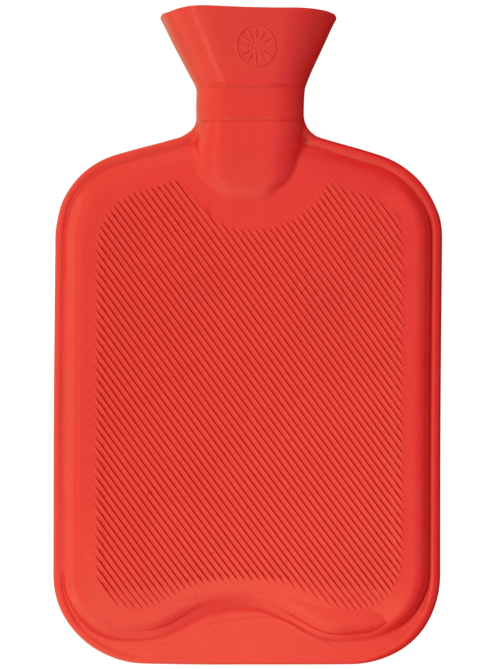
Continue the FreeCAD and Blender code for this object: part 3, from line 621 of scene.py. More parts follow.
for front in (True, False):
    sign = 1.0 if front else -1.0
    rings = []
    for k, dk in enumerate(DEPTHS):
        p = OUTLINE + OUT_N * dk
        if k == 0:
            if outline_ids is None:
                outline_ids = skin.add(np.column_stack((p, np.zeros(len(p)))))
            rings.append(outline_ids)
            continue
        if k == 1:
            z = np.full(len(p), 0.24)
        else:
            z = face_height(p, np.full(len(p), dk), signed(p, CREASE), front)
        rings.append(skin.add(np.column_stack((p, sign * z))))
        skin.strip(rings[-2], rings[-1])
    side_rings[front] = rings
    rim2 = OUTLINE + OUT_N * DEPTHS[-1]
    top_x = x_join[BAND + 1 : HALF - BAND]  # right to left
    top2 = np.column_stack((top_x, np.full(len(top_x), JOIN)))
    zt = face_height(top2, np.full(len(top2), 9.0), np.full(len(top2), -9.0), front)
    top_ids[front] = skin.add(np.column_stack((top2, sign * zt)))
    loop2 = np.vstack((rim2, top2))
    loop_ids = np.concatenate((rings[-1], top_ids[front]))

    # rings that follow the crease round the panel
    if front:
        steps = (-2.0, -1.55, -1.2, -0.85, -0.55, -0.25, 0.0, 0.25, 0.55, 1.0, 1.7, 2.5, 3.2, 3.8, 4.5, 5.3, 6.2, 7.2, 8.3, 9.4)
        sets = []
    else:
        steps = (-0.5, 0.0, 0.5, 1.6, 3.0, 4.2, 5.6, 7.2, 9.0)
        sets = []
    for e in steps:
        p = CREASE + CREASE_N * e
        sets.append(p[~near_neck(p)])
    for e in (-1.2, -2.1):
        p = CREASE + CREASE_N * e
        p = p[(p[:, 1] < 32) & (np.abs(p[:, 0]) < 88)]
        p = p[distance(p, OUTLINE) > 5.4]
        sets.append(p)
    if front:
        for line, high, wide in FINE_LINES:
            n = normals_of(line)
            for o in (-0.75, -0.35, 0.0, 0.35, 0.75):
                p = line + n * o
                sets.append(p[::1])
    rings2 = sets[0]
    for p in sets[1:]:
        rings2 = np.vstack((rings2, apart(p, rings2, 0.2)))
    keep = inside(rings2, loop2) & (distance(rings2, loop2, closed=True) > 0.22)
    rings2 = rings2[keep]
    extra = rings2

    if front:
        # ribs: rows of points that run along them
        offsets = np.array((0.02, 0.28, 0.62, 1.27, 1.72, 2.10, 2.40, 2.565, 2.70, 2.85)) / PITCH
        us = []
        for v0 in np.arange(-240, 120, 1.2):
            us.append(v0)
        v = np.array(us)
        u_lo, u_hi = -70.0, 230.0
        n0, n1 = int(u_lo / PITCH), int(u_hi / PITCH)
        turns = (np.arange(n0, n1)[:, None] + offsets[None]).ravel()
        odd = np.tile(np.arange(len(v)) % 2 == 1, (len(turns), 1))
        T, V = np.meshgrid(turns, v, indexing="ij")
        u = T * PITCH
        for _ in range(6):
            x = u * OVER[0] + V * ALONG[0]
            y = u * OVER[1] + V * ALONG[1]
            u = u - (rib_phase(x, y) - T) * PITCH
        x = u * OVER[0] + V * ALONG[0]
        y = u * OVER[1] + V * ALONG[1]
        ok = (x > -80) & (x < 82) & (y > 27) & (y < 254)
        p = np.column_stack((x[ok], y[ok]))
        odd = odd[ok]
        # each rib's points are kept or left out together
        whole = np.clip((np.arange(len(turns)) - 1) // len(offsets) * len(offsets) + 5, 0, len(turns) - 1)
        sd = signed(np.column_stack((x[whole][ok], y[whole][ok])), RIB_FIELD)
        keep = (sd > -0.5) & ((~odd) | (sd < 5.0))
        rib2 = p[keep]
        rib2 = apart(rib2, rings2, 0.5) if len(rings2) else rib2
        plain = lattice(-92, 92, 16, 262, 3.6)
        sdp = signed(plain, RIB_FIELD)
        ep = signed(plain, CREASE)
        plain = plain[(sdp < -1.6) & (ep > 10.6) & ~((plain[:, 1] > 237) & (np.abs(plain[:, 0]) < 33))]
        close = lattice(-31, 31, 237.5, 283.6, 0.85)
        w, _ = neck(close[:, 1])
        close = close[(np.abs(close[:, 0]) < np.where(close[:, 1] > 262, 29.5, 31))]
        close = close[signed(close, RIB_FIELD) < -1.0]
        pit = lattice(23.4, 32.5, 262.5, 277.0, 0.42)
        pit = np.vstack((pit, pit * (-1, 1)))
        beads = np.vstack([np.column_stack((np.linspace(-23.2, 23.2, 60), np.full(60, yb))) for yb in (279.2, 279.6, 279.9, 280.15, 280.4, 280.7, 281.1)])
        lone = []
        for cx, cy, deep, wide in DIMPLES:
            g = lattice(cx - 1.8, cx + 1.8, cy - 1.8, cy + 1.8, 0.36)
            lone.append(g[np.hypot(g[:, 0] - cx, g[:, 1] - cy) < 1.8])
        lone = np.vstack(lone)
        flat = lattice(-98, 98, 1.5, 32, 2.6)
        flat = flat[(signed(flat, CREASE) < -2.6)]
        order = [(beads, 0.3), (pit, 0.3), (lone, 0.2), (close, 0.5), (flat, 0.9), (plain, 1.6)]
        extra = rings2
        for pts, gap in order:
            extra = np.vstack((extra, apart(pts, extra, gap)))
        extra = extra[inside(extra, loop2) & (distance(extra, loop2, closed=True) > 0.22)]
        # rib points go in as they are, and anything else keeps off them
        others = extra[(signed(extra, RIB_FIELD) < -0.7)]
        extra = np.vstack((others, apart(rib2, others, 0.3)))
    else:
        plain = lattice(-92, 92, 16, 262, 5.5)
        ep = signed(plain, CREASE)
        plain = plain[(ep > 10.4) & ~((plain[:, 1] > 237) & (np.abs(plain[:, 0]) < 33))]
        close = lattice(-31, 31, 237.5, 283.6, 1.6)
        close = close[(np.abs(close[:, 0]) < np.where(close[:, 1] > 262, 29.5, 31))]
        pit = lattice(23.4, 32.5, 262.5, 277.0, 0.7)
        pit = np.vstack((pit, pit * (-1, 1)))
        flat = lattice(-98, 98, 1.5, 32, 4.5)
        flat = flat[(signed(flat, CREASE) < -2.8)]
        beads = np.vstack([np.column_stack((np.linspace(-23.2, 23.2, 40), np.full(40, yb))) for yb in (279.3, 279.8, 280.15, 280.5, 281.0)])
        extra = rings2
        for pts, gap in [(beads, 0.3), (pit, 0.5), (close, 0.9), (flat, 1.6), (plain, 2.4)]:
            extra = np.vstack((extra, apart(pts, extra, gap)))
        extra = extra[inside(extra, loop2) & (distance(extra, loop2, closed=True) > 0.22)]

    def height(p, front=front, sign=sign):
        d = distance(p, OUTLINE)
        return np.column_stack((p, sign * face_height(p, d, signed(p, CREASE), front)))

    n = fill(skin, loop2, loop_ids, extra, [], height)
    print("bag", "front" if front else "back", "triangles", n)

# ------------------------------------------------------------------ neck and funnel above the join
first = np.concatenate(
    (
        [r[-1] for r in side_rings[True]],
        top_ids[True],
        [r[0] for r in side_rings[True][::-1]],
        [r[0] for r in side_rings[False][1:]],
        top_ids[False][::-1],
        [r[-1] for r in side_rings[False][:0:-1]],
    )
)
MOUTH = 333.0
rows = [286.6, 288.5, 290.5, 292.5, 294.2, 295.4, 296.2, 296.6, 296.85, 297.05, 297.25, 297.45, 297.65, 297.85, 298.1, 298.4, 298.9, 299.8, 301.2]
rows += list(np.arange(303.2, 328.0, 2.05)) + [329.4, 331.2, 332.3, MOUTH]
DIAL_X, DIAL_Y, DIAL_R = 3.6, 315.5, 9.7


def tube_row(y):
    w, b = (float(v) for v in neck_top(y))
    x, z = ring_half(w, b)
    grow_f = 1 + band_beads(x, np.full(len(x), y)) / b
    grow_b = 1 + 0.8 * band_beads(-x, np.full(len(x), y)) / b
    edge = np.ones(len(x))
    edge[[0, 1, -2, -1]] = 0
    zf = z * np.where(edge > 0, grow_f, 1)
    zb = -z * np.where(edge > 0, grow_b, 1)
    f = np.column_stack((x, np.full(len(x), y), zf))
    r = np.column_stack((x[::-1], np.full(len(x), y), zb[::-1]))[1:-1]
    return np.vstack((f, r))


ring_n = len(first)
tube = [first]
for y in rows:
    p = tube_row(y)
    assert len(p) == ring_n, (len(p), ring_n)
    tube.append(skin.add(p))
row_y = [JOIN] + rows
hole_lo = next(i for i, y in enumerate(row_y) if y > 303.0)
hole_hi = max(i for i, y in enumerate(row_y) if y < 328.0)
col_a = 2 + len(ALPHA) - 1
col_b = col_a + 23
for j in range(len(tube) - 1):
    a, b = tube[j], tube[j + 1]
    if hole_lo <= j < hole_hi:
        skin.strip(a[: col_a + 1], b[: col_a + 1])
        skin.strip(np.append(a[col_b:], a[0]), np.append(b[col_b:], b[0]))
    else:
        skin.strip(np.append(a, a[0]), np.append(b, b[0]))


def dial(x, y):
    """A plain mould dial: a ring, twelve spokes and small dots, standing a little proud."""
    dx, dy = x - DIAL_X, y - DIAL_Y
    r = np.hypot(dx, dy)
    a = np.arctan2(dy, dx)
    out = 0.50 * np.exp(-(((r - DIAL_R) / 0.30) ** 2))
    out = out + 0.14 * np.exp(-(((r - DIAL_R + 1.05) / 0.24) ** 2))
    turn = (a / (math.pi / 6) + 0.08) % 1.0
    off = (turn - np.round(turn)) * (math.pi / 6) * r
    length = smooth(3.4, 4.2, r) * (1 - smooth(7.9, 8.7, r))
    out = out + 0.46 * length * np.exp(-((off / 0.30) ** 2))
    for i in range(6):
        t = math.radians(60 * i + 15)
        cx, cy = 2.5 * math.cos(t), 2.5 * math.sin(t)
        out = out + 0.36 * np.exp(-(((dx - cx) ** 2 + (dy - cy) ** 2) / 0.48**2))
    out = out - 0.05 * (1 - smooth(9.0, 9.6, r))
    return out


def patch_height(p):
    w, b = neck_top(p[:, 1])
    q = across(p[:, 0], w, b)
    z = np.sqrt(b * b - q * q) * (1 + band_beads(p[:, 0], p[:, 1]) / b)
    return np.column_stack((p, z + dial(p[:, 0], p[:, 1])))


cols = np.arange(col_a, col_b + 1)
loop_ids = np.concatenate(
    (
        tube[hole_lo][cols],
        [tube[j][col_b] for j in range(hole_lo + 1, hole_hi)],
        tube[hole_hi][cols][::-1],
        [tube[j][col_a] for j in range(hole_hi - 1, hole_lo, -1)],
    )
)
loop2 = skin.points()[loop_ids][:, :2]
fine = lattice(DIAL_X - 11, DIAL_X + 11, DIAL_Y - 11, DIAL_Y + 11, 0.25)
fine = fine[np.hypot(fine[:, 0] - DIAL_X, fine[:, 1] - DIAL_Y) < 10.5]
fine = fine[inside(fine, loop2) & (distance(fine, loop2, closed=True) > 0.3)]
rest = lattice(-14, 20, 302, 330, 1.1)
rest = rest[inside(rest, loop2) & (distance(rest, loop2, closed=True) > 0.6)]
rest = rest[np.hypot(rest[:, 0] - DIAL_X, rest[:, 1] - DIAL_Y) > 10.9]
n = fill(skin, loop2, loop_ids, np.vstack((fine, rest)), [], patch_height)
print("dial triangles", n)

# ------------------------------------------------------------------ mouth, funnel inside and socket
quarter = np.concatenate(([0.0, 0.0], ALPHA))
quarter[1] = ALPHA[0] / 2


def inner_section(y):
    if y > 301:
        t = (y - 301) / 33.3
        return 18.3 + 24.9 * t, 13.9 + 9.8 * t
    t = (y - 294) / 7
    return 13.9 + 4.4 * t, 13.45 + 0.45 * t


def along_stadium(s, f, b):
    """Point at share s (0 right edge, 1 left edge) of the front half's length."""
    total = math.pi * b + 2 * f
    l = s * total
    left_ = l > total / 2
    l = np.where(left_, total - l, l)
    a = np.minimum(l / b, math.pi / 2)
    x = np.where(l > b * math.pi / 2, f - (l - b * math.pi / 2), f + b * np.cos(a))
    return np.where(left_, -x, x), b * np.sin(a)


def outer_share():
    w, b = (float(v) for v in neck_top(MOUTH))
    f = w - b
    total = math.pi * b + 2 * f
    side = quarter * b / total
    mid = (b * math.pi / 2 + (1 - TAU) * f) / total
    return np.concatenate((side, mid, 1 - side[::-1]))


SHARE_OUT = outer_share()
SHARE_EVEN = np.linspace(0, 1, len(SHARE_OUT))


def inner_ring(y, f, b, even):
    s = SHARE_OUT * (1 - even) + SHARE_EVEN * even
    x, z = along_stadium(s, f, b)
    front_ = np.column_stack((x, np.full(len(x), y), z))
    back_ = np.column_stack((x[::-1], np.full(len(x), y), -z[::-1]))[1:-1]
    return np.vstack((front_, back_))


a_in, b_in = inner_section(MOUTH)
inner0 = inner_ring(MOUTH, a_in - b_in, b_in, 0.0)
outer0 = skin.points()[tube[-1]]
before = skin.points()[tube[-2]]
wall = outer0 - inner0
half = 0.5 * wall
grow = outer0 - before
grow -= half * ((grow * half).sum(1) / (half**2).sum(1))[:, None]
grow /= np.linalg.norm(grow, axis=1)[:, None]
radius = np.linalg.norm(half, axis=1)[:, None]
last = tube[-1]
for phi in np.radians((14, 32, 52, 72, 90, 108, 128, 148, 166)):
    p = 0.5 * (outer0 + inner0) + half * math.cos(phi) + grow * radius * math.sin(phi) * 0.95
    ids = skin.add(p)
    skin.strip(np.append(last, last[0]), np.append(ids, ids[0]))
    last = ids
SOCKET = 13.34
inner_rows = [(MOUTH, None)] + [(y, None) for y in (331.0, 328.0, 324.0, 319.0, 314.0, 309.0, 305.0, 302.5, 301.0, 299.5, 297.5, 295.8, 294.6, 294.25)]
for y, _ in inner_rows:
    a_, b_ = inner_section(y)
    even = 1 - smooth(303.0, 331.0, y)
    ids = skin.add(inner_ring(y, a_ - b_, b_, float(even)))
    skin.strip(np.append(last, last[0]), np.append(ids, ids[0]))
    last = ids
for y in (294.02, 293.8, 282.0, 270.0, 269.0):
    ids = skin.add(inner_ring(y, 0.0, SOCKET, 1.0))
    skin.strip(np.append(last, last[0]), np.append(ids, ids[0]))
    last = ids

# ------------------------------------------------------------------ the hollow inside the bag
hollow = CREASE + CREASE_N * 1.2
hollow = hollow[(np.abs(hollow[:, 0]) > 27.0) | (hollow[:, 1] < 200)]
start = np.argmax(np.where(hollow[:, 0] < 0, hollow[:, 1] - 0.001 * np.abs(hollow[:, 0]), -1e9))
hollow = np.roll(hollow, -start, axis=0)  # from the upper left, down and round to the upper right
if hollow[1, 1] > hollow[-1, 1] and hollow[1, 0] > 0:
    hollow = hollow[::-1]
hollow = np.vstack((hollow, (20.0, 268.9), (16.0, 269.0)))
hollow = np.vstack(((-16.0, 269.0), (-20.0, 268.9), hollow)) if hollow[0, 0] < 0 else hollow
edge_ids = skin.add(np.column_stack((hollow, np.zeros(len(hollow)))))
socket_pts = skin.points()[last]
fh = len(SHARE_OUT)
for front in (True, False):
    sign = 1.0 if front else -1.0
    if front:
        seg = last[:fh]  # right to left
    else:
        seg = np.concatenate(([last[0]], last[fh:][::-1], [last[fh - 1]]))  # right to left along the back
    seg2 = skin.points()[seg][:, :2]
    loop2 = np.vstack((hollow, seg2))
    loop_ids = np.concatenate((edge_ids, seg))
    grid = lattice(-92, 92, 15, 268, 5.0)
    near = lattice(-22, 22, 256, 268.6, 1.5)
    ok = inside(grid, loop2) & (distance(grid, loop2, closed=True) > 1.4) & ~((grid[:, 1] > 255) & (np.abs(grid[:, 0]) < 23))
    ok2 = inside(near, loop2) & (distance(near, loop2, closed=True) > 0.7)
    ring_a = CREASE + CREASE_N * 3.0
    ring_b = CREASE + CREASE_N * 6.0
    rr = np.vstack((ring_a[::2], ring_b[::2]))
    rr = rr[inside(rr, loop2) & (distance(rr, loop2, closed=True) > 1.2) & (rr[:, 1] < 262)]
    extra = np.vstack((rr, apart(grid[ok], rr, 2.2), near[ok2]))

    def cave(p, sign=sign):
        e = signed(p, CREASE)
        plain_bag = np.clip(bevel(np.clip(e, 0, None), p[:, 0]) - 2.7, 0.25, 7.2)
        w, b = neck(p[:, 1])
        q = across(p[:, 0], w - 2.4, np.maximum(b - 2.4, 0.2))
        bb = np.maximum(b - 2.4, 0.2)
        throat = np.sqrt(np.clip(bb * bb - q * q, 0, None))
        z = soft_max(plain_bag, throat, 1.0)
        lid = np.sqrt(np.clip(SOCKET**2 - p[:, 0] ** 2, 0, None)) + 1.4 * (269.0 - p[:, 1]) + 0.2
        z = np.minimum(z, lid)
        return np.column_stack((p, sign * z))

    n = fill(skin, loop2, loop_ids, extra, [], cave)
    print("hollow triangles", n)

# ------------------------------------------------------------------ the rubber's own irregularity
pts = skin.points()
x, y, z = pts[:, 0].copy(), pts[:, 1].copy(), pts[:, 2].copy()
socket_zone = (np.hypot(x, z) < 14.2) & (y > 262)
ease = np.where(socket_zone, 0.0, 1.0)
ease = ease * np.where((y > 262) & (y < 269.5) & (np.abs(x) < 16.5) & (np.abs(z) < 13.6), 0.0, 1.0)
pinch = monotone(
    [255, 262, 264.5, 266.2, 268.2, 270.3, 272.6, 274.5, 276.6, 279, 281, 283, 287, 292, 297, 300, 303, 310, 326, 334],
    [0.0, 0.15, 0.0, -0.25, 0.0, 0.4, 0.35, 0.15, 0.42, 0.45, 0.38, 0.22, 0.15, 0.18, 0.22, 0.03, -0.1, -0.05, 0.0, -0.35],
)(y)
side = smooth(14.0, 26.0, np.abs(x)) * np.sign(x)
pts[:, 0] = x + ease * (sway_x(y) - pinch * side)
pts[:, 1] += 0.55 * np.exp(-(((x + 70) / 22) ** 2 + ((y - 4) / 16) ** 2))
pts[:, 1] += 0.35 * np.exp(-(((x - 68) / 16) ** 2 + ((y - 2) / 14) ** 2))
pts[:, 1] += 0.10 * (1 - smooth(0.0, 20.0, y)) * smooth(10.0, -40.0, x)
lift = smooth(301.0, 334.0, y)
lean = np.clip((x - 2.0) / 34.0, -1.15, 1.15)
front_w = smooth(2.0, 16.0, z)
back_w = smooth(2.0, 16.0, -z)
pts[:, 2] += lift * front_w * (-1.15 * lean) + lift * back_w * (0.5 * lean)
lip = monotone(
    [-45, -42.3, -39.3, -34.3, -29.2, -24.2, -14.2, 0.9, 16, 26, 31, 36, 41, 46],
    [-0.1, -0.35, -0.5, 0.05, 0.48, 0.6, 0.45, 0.25, 0.15, 0.5, 0.7, 0.95, 1.3, 0.6],
)(x)
pts[:, 1] += lift * front_w * (lip - 0.42 * lean) + 0.95 * lift * smooth(38.5, 45.0, np.abs(x)) * (1 - smooth(6.0, 16.0, np.abs(z)))

# a fold line runs down the funnel's left front, as a low ridge; the same field also carries a painted highlight into
# the colour along it
fold_line = np.array([(-28.6, 334.5), (-25.0, 325.6), (-18.2, 309.0), (-14.6, 301.5), (-12.6, 296.5)])
fold = np.zeros(len(pts))
near = (z > 4) & (y > 292) & (x < -6)
fold[near] = np.exp(-((distance(np.column_stack((x[near], y[near])), fold_line) / 1.15) ** 2)) * smooth(294, 300, y[near])
pts[:, 2] += 0.20 * fold

mesh = bpy.data.meshes.new("rubber_bottle")
mesh.from_pydata(put(pts).tolist(), [], skin.faces)
bm = bmesh.new()
bm.from_mesh(mesh)
# painted highlight along the fold, handed to the material
fold_highlight = bm.verts.layers.float.new("fold_highlight")
for v in bm.verts:
    v[fold_highlight] = float(fold[v.index])
loose = [v for v in bm.verts if not v.link_faces]
bmesh.ops.delete(bm, geom=loose, context="VERTS")
bmesh.ops.recalc_face_normals(bm, faces=bm.faces)
odd_edges = sum(1 for e in bm.edges if len(e.link_faces) != 2)
print("rubber: faces", len(bm.faces), "triangles", sum(len(f.verts) - 2 for f in bm.faces), "edges not shared by two", odd_edges, "volume ml", round(bm.calc_volume() * 1e6, 1), "loose", len(loose))
bm.to_mesh(mesh)
bm.free()
mesh.polygons.foreach_set("use_smooth", [True] * len(mesh.polygons))
rubber = bpy.data.objects.new("rubber_bottle", mesh)
scene.collection.objects.link(rubber)

# where the band's grain is, and painted shade: the colour is darkened at the rib feet, along the crease, on the right
# edge, in the pit beside the neck and under the beads, where shade falls
co = np.empty(len(mesh.vertices) * 3)
mesh.vertices.foreach_get("co", co)
co = co.reshape(-1, 3) * 1000.0
yy, zz = co[:, 1] - SHIFT_Y, co[:, 2] - SHIFT_Z
ly, lz = yy * LIE_C + zz * LIE_S, -yy * LIE_S + zz * LIE_C
lx = co[:, 0]
w_, b_ = neck(ly)
outer_face = np.hypot(across(lx, w_, b_), lz) > b_ - 1.2
grain = smooth(280.5, 281.1, ly) * (1 - smooth(296.5, 297.1, ly)) * outer_face
att = mesh.attributes.new("grain", "FLOAT", "POINT")
att.data.foreach_set("value", grain.astype(np.float32))
ux = lx - sway_x(ly)
plan = np.column_stack((ux, ly))
turn = (rib_phase(ux, ly) % 1.0) * PITCH
# painted shade: the colour darkens along each rib's foot, where the steep right flank stands in shade
foot = np.exp(-((np.minimum(turn, 1.25 * (PITCH - turn)) / 0.36) ** 2))
shade = foot * (lz > 8.6) * (ly < 254) * smooth(0.2, 3.0, signed(plan, RIB_FIELD))
# painted shade along the crease, much stronger on the right side, away from the key light, and weaker on the left
along_crease = (lz > 0.4) & (ly < 276)
crease_shade = np.zeros(len(plan))
crease_shade[along_crease] = np.exp(-((distance(plan[along_crease], CREASE_FINE, True) / 0.66) ** 2))
crease_shade_share = 0.22 + 0.76 * smooth(70, 92, ux) * (1 - smooth(226, 250, ly)) - 0.16 * smooth(70, 92, -ux)
crease_shade = crease_shade * np.where(ly > 250, smooth(30.8, 34.0, np.abs(ux)), 1.0)
shade = np.maximum(shade, crease_shade * crease_shade_share)
# painted shadow on the outer rim's right edge, which the light from the left doesn't reach
edge = np.zeros(len(plan))
right_edge = (ux > 60) & (lz > -0.5) & (ly < 252)
edge[right_edge] = np.exp(-((distance(plan[right_edge], OUTLINE) / 1.15) ** 2))
shade = np.maximum(shade, 0.85 * edge * smooth(76, 94, ux) * (1 - smooth(222, 250, ly)))
# painted shadow in the pit where the neck meets the right shoulder
pit = np.exp(-(((ux - 28.9) / 1.1) ** 2) - ((ly - 271.2) / 2.0) ** 2) * (lz > 0.0)
shade = np.maximum(shade, 0.8 * pit)
# painted shade in a line under each of the band's beads
for line_y, wide, much in ((279.15, 0.55, 0.34), (296.35, 0.45, 0.26)):
    sway = 0.20 * waves(ux, 0 * ux, 31, 19.0)
    under = np.exp(-(((ly - line_y - sway) / wide) ** 2)) * outer_face * (0.75 + 0.5 * waves(ux, 0 * ux, 33, 9.0))
    shade = np.maximum(shade, much * under * (np.abs(ux) < 29))
shade = np.clip(shade, 0.0, 1.0)
att = mesh.attributes.new("shade", "FLOAT", "POINT")
att.data.foreach_set("value", shade.astype(np.float32))
mesh.update()

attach(rubber, "bottle")
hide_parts("rubber_body")


# ------------------------------------------------------------------ materials
def material(name):
    m = bpy.data.materials.new(name)
    m.use_nodes = True
    nt = m.node_tree
    bsdf = nt.nodes["Principled BSDF"]
    return m, nt, bsdf


def node(nt, kind, **inputs):
    n = nt.nodes.new(kind)
    for k, v in inputs.items():
        k = k.replace("_", " ")
        if k in n.inputs:
            n.inputs[k].default_value = v
    return n


def maths(nt, op, a, b=None, clamp=False):
    n = nt.nodes.new("ShaderNodeMath")
    n.operation = op
    n.use_clamp = clamp
    for i, v in enumerate((a, b)):
        if v is None:
            continue
        if isinstance(v, (int, float)):
            n.inputs[i].default_value = v
        else:
            nt.links.new(v, n.inputs[i])
    return n.outputs[0]


def remap(nt, value, a, b, c, d):
    n = nt.nodes.new("ShaderNodeMapRange")
    n.inputs["From Min"].default_value = a
    n.inputs["From Max"].default_value = b
    n.inputs["To Min"].default_value = c
    n.inputs["To Max"].default_value = d
    nt.links.new(value, n.inputs["Value"])
    return n.outputs["Result"]


def noise(nt, coords, scale, detail=3.0, rough=0.55, stretch=None):
    n = nt.nodes.new("ShaderNodeTexNoise")
    n.inputs["Scale"].default_value = scale
    n.inputs["Detail"].default_value = detail
    n.inputs["Roughness"].default_value = rough
    if stretch is not None:
        mp = nt.nodes.new("ShaderNodeMapping")
        mp.inputs["Scale"].default_value = stretch
        nt.links.new(coords, mp.inputs["Vector"])
        coords = mp.outputs["Vector"]
    nt.links.new(coords, n.inputs["Vector"])
    return n.outputs["Fac"]


def blend_colour(nt, fac, a, b):
    n = nt.nodes.new("ShaderNodeMix")
    n.data_type = "RGBA"
    n.inputs["Factor"].default_value = 0.5
    n.inputs["A"].default_value = (*a, 1.0) if isinstance(a, tuple) else (0, 0, 0, 1)
    n.inputs["B"].default_value = (*b, 1.0) if isinstance(b, tuple) else (0, 0, 0, 1)
    if not isinstance(a, tuple):
        nt.links.new(a, n.inputs["A"])
    if not isinstance(b, tuple):
        nt.links.new(b, n.inputs["B"])
    nt.links.new(fac, n.inputs["Factor"])
    return n.outputs["Result"]


red, nt, bsdf = material("red_rubber")
coords = nt.nodes.new("ShaderNodeTexCoord").outputs["Object"]
cloud = noise(nt, coords, 14.0, 3.0)
speck = noise(nt, coords, 260.0, 4.0, 0.65)
fac = maths(nt, "ADD", maths(nt, "MULTIPLY", cloud, 0.55), maths(nt, "MULTIPLY", speck, 0.45))
fac = remap(nt, fac, 0.36, 0.64, 0.0, 1.0)
colour = blend_colour(nt, fac, (0.575, 0.0090, 0.0074), (0.620, 0.0115, 0.0090))
fold_highlight_att = nt.nodes.new("ShaderNodeAttribute")
fold_highlight_att.attribute_name = "fold_highlight"
# painted highlight: paler colour in specks along the funnel's fold line
patchy = remap(nt, noise(nt, coords, 420.0, 3.0, 0.7), 0.38, 0.62, 0.35, 1.0)
fold_highlight_fac = maths(nt, "MULTIPLY", maths(nt, "POWER", fold_highlight_att.outputs["Fac"], 1.6), patchy, clamp=True)
colour = blend_colour(nt, fold_highlight_fac, colour, (0.66, 0.045, 0.030))
shade_att = nt.nodes.new("ShaderNodeAttribute")
shade_att.attribute_name = "shade"
# painted shade: the colour goes dark where the shade attribute is high
colour = blend_colour(nt, maths(nt, "MULTIPLY", shade_att.outputs["Fac"], 0.92, clamp=True), colour, (0.36, 0.0022, 0.0030))
nt.links.new(colour, bsdf.inputs["Base Color"])
rough = remap(nt, noise(nt, coords, 60.0, 4.0, 0.6), 0.3, 0.7, 0.27, 0.37)
nt.links.new(rough, bsdf.inputs["Roughness"])
bsdf.inputs["IOR"].default_value = 1.46
# painted shade: the specular level drops with the same attribute, so the shaded places show no reflection
nt.links.new(maths(nt, "SUBTRACT", 0.75, maths(nt, "MULTIPLY", shade_att.outputs["Fac"], 0.70)), bsdf.inputs["Specular IOR Level"])
grain_att = nt.nodes.new("ShaderNodeAttribute")
grain_att.attribute_name = "grain"
pebble = nt.nodes.new("ShaderNodeTexVoronoi")
pebble.feature = "SMOOTH_F1"
pebble.inputs["Scale"].default_value = 1250.0
pebble.inputs["Smoothness"].default_value = 0.6
nt.links.new(coords, pebble.inputs["Vector"])
hide = maths(nt, "ADD", maths(nt, "MULTIPLY", pebble.outputs["Distance"], 1.0), maths(nt, "MULTIPLY", noise(nt, coords, 900.0, 2.0), 0.8))
hide = maths(nt, "MULTIPLY", hide, grain_att.outputs["Fac"])
fine_bump = nt.nodes.new("ShaderNodeBump")
fine_bump.inputs["Strength"].default_value = 0.10
fine_bump.inputs["Distance"].default_value = 0.0002
nt.links.new(noise(nt, coords, 1500.0, 3.0, 0.6), fine_bump.inputs["Height"])
grain_bump = nt.nodes.new("ShaderNodeBump")
grain_bump.inputs["Strength"].default_value = 0.55
grain_bump.inputs["Distance"].default_value = 0.00035
nt.links.new(hide, grain_bump.inputs["Height"])
nt.links.new(fine_bump.outputs["Normal"], grain_bump.inputs["Normal"])
nt.links.new(grain_bump.outputs["Normal"], bsdf.inputs["Normal"])
mesh.materials.append(red)


def moulded(name, dark, light, rough_lo, rough_hi, bump=0.12, scale=900.0):
    m, nt, bsdf = material(name)
    coords = nt.nodes.new("ShaderNodeTexCoord").outputs["Object"]
    fac = remap(nt, noise(nt, coords, 40.0, 4.0), 0.35, 0.65, 0.0, 1.0)
    nt.links.new(blend_colour(nt, fac, dark, light), bsdf.inputs["Base Color"])
    nt.links.new(remap(nt, noise(nt, coords, 120.0, 3.0), 0.3, 0.7, rough_lo, rough_hi), bsdf.inputs["Roughness"])
    b = nt.nodes.new("ShaderNodeBump")
    b.inputs["Strength"].default_value = bump
    b.inputs["Distance"].default_value = 0.0002
    nt.links.new(noise(nt, coords, scale, 3.0, 0.6), b.inputs["Height"])
    nt.links.new(b.outputs["Normal"], bsdf.inputs["Normal"])
    bsdf.inputs["IOR"].default_value = 1.48
    return m


for name, mat in {
    "neck_insert": moulded("insert_plastic", (0.045, 0.045, 0.05), (0.065, 0.065, 0.07), 0.35, 0.5),
    "stopper": moulded("stopper_plastic", (0.026, 0.026, 0.030), (0.042, 0.042, 0.046), 0.32, 0.46, 0.18, 1300.0),
    "stopper_washer": moulded("washer_rubber", (0.36, 0.035, 0.022), (0.47, 0.055, 0.035), 0.5, 0.65),
}.items():
    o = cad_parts[name]
    o.data.materials.clear()
    o.data.materials.append(mat)

# ------------------------------------------------------------------ floor, surroundings and light
floor_mesh = bpy.data.meshes.new("floor")
floor_mesh.from_pydata([(-3, -3, 0), (3, -3, 0), (3, 3, 0), (-3, 3, 0)], [], [(0, 1, 2, 3)])
floor = bpy.data.objects.new("floor", floor_mesh)
scene.collection.objects.link(floor)
pale, nt, bsdf = material("pale_floor")
bsdf.inputs["Base Color"].default_value = (0.20, 0.20, 0.20, 1.0)
bsdf.inputs["Roughness"].default_value = 0.9
bsdf.inputs["Specular IOR Level"].default_value = 0.0
bsdf.inputs["Emission Color"].default_value = (1, 1, 1, 1)
bsdf.inputs["Emission Strength"].default_value = 0.90
floor_mesh.materials.append(pale)
floor.visible_diffuse = False
floor.visible_glossy = False

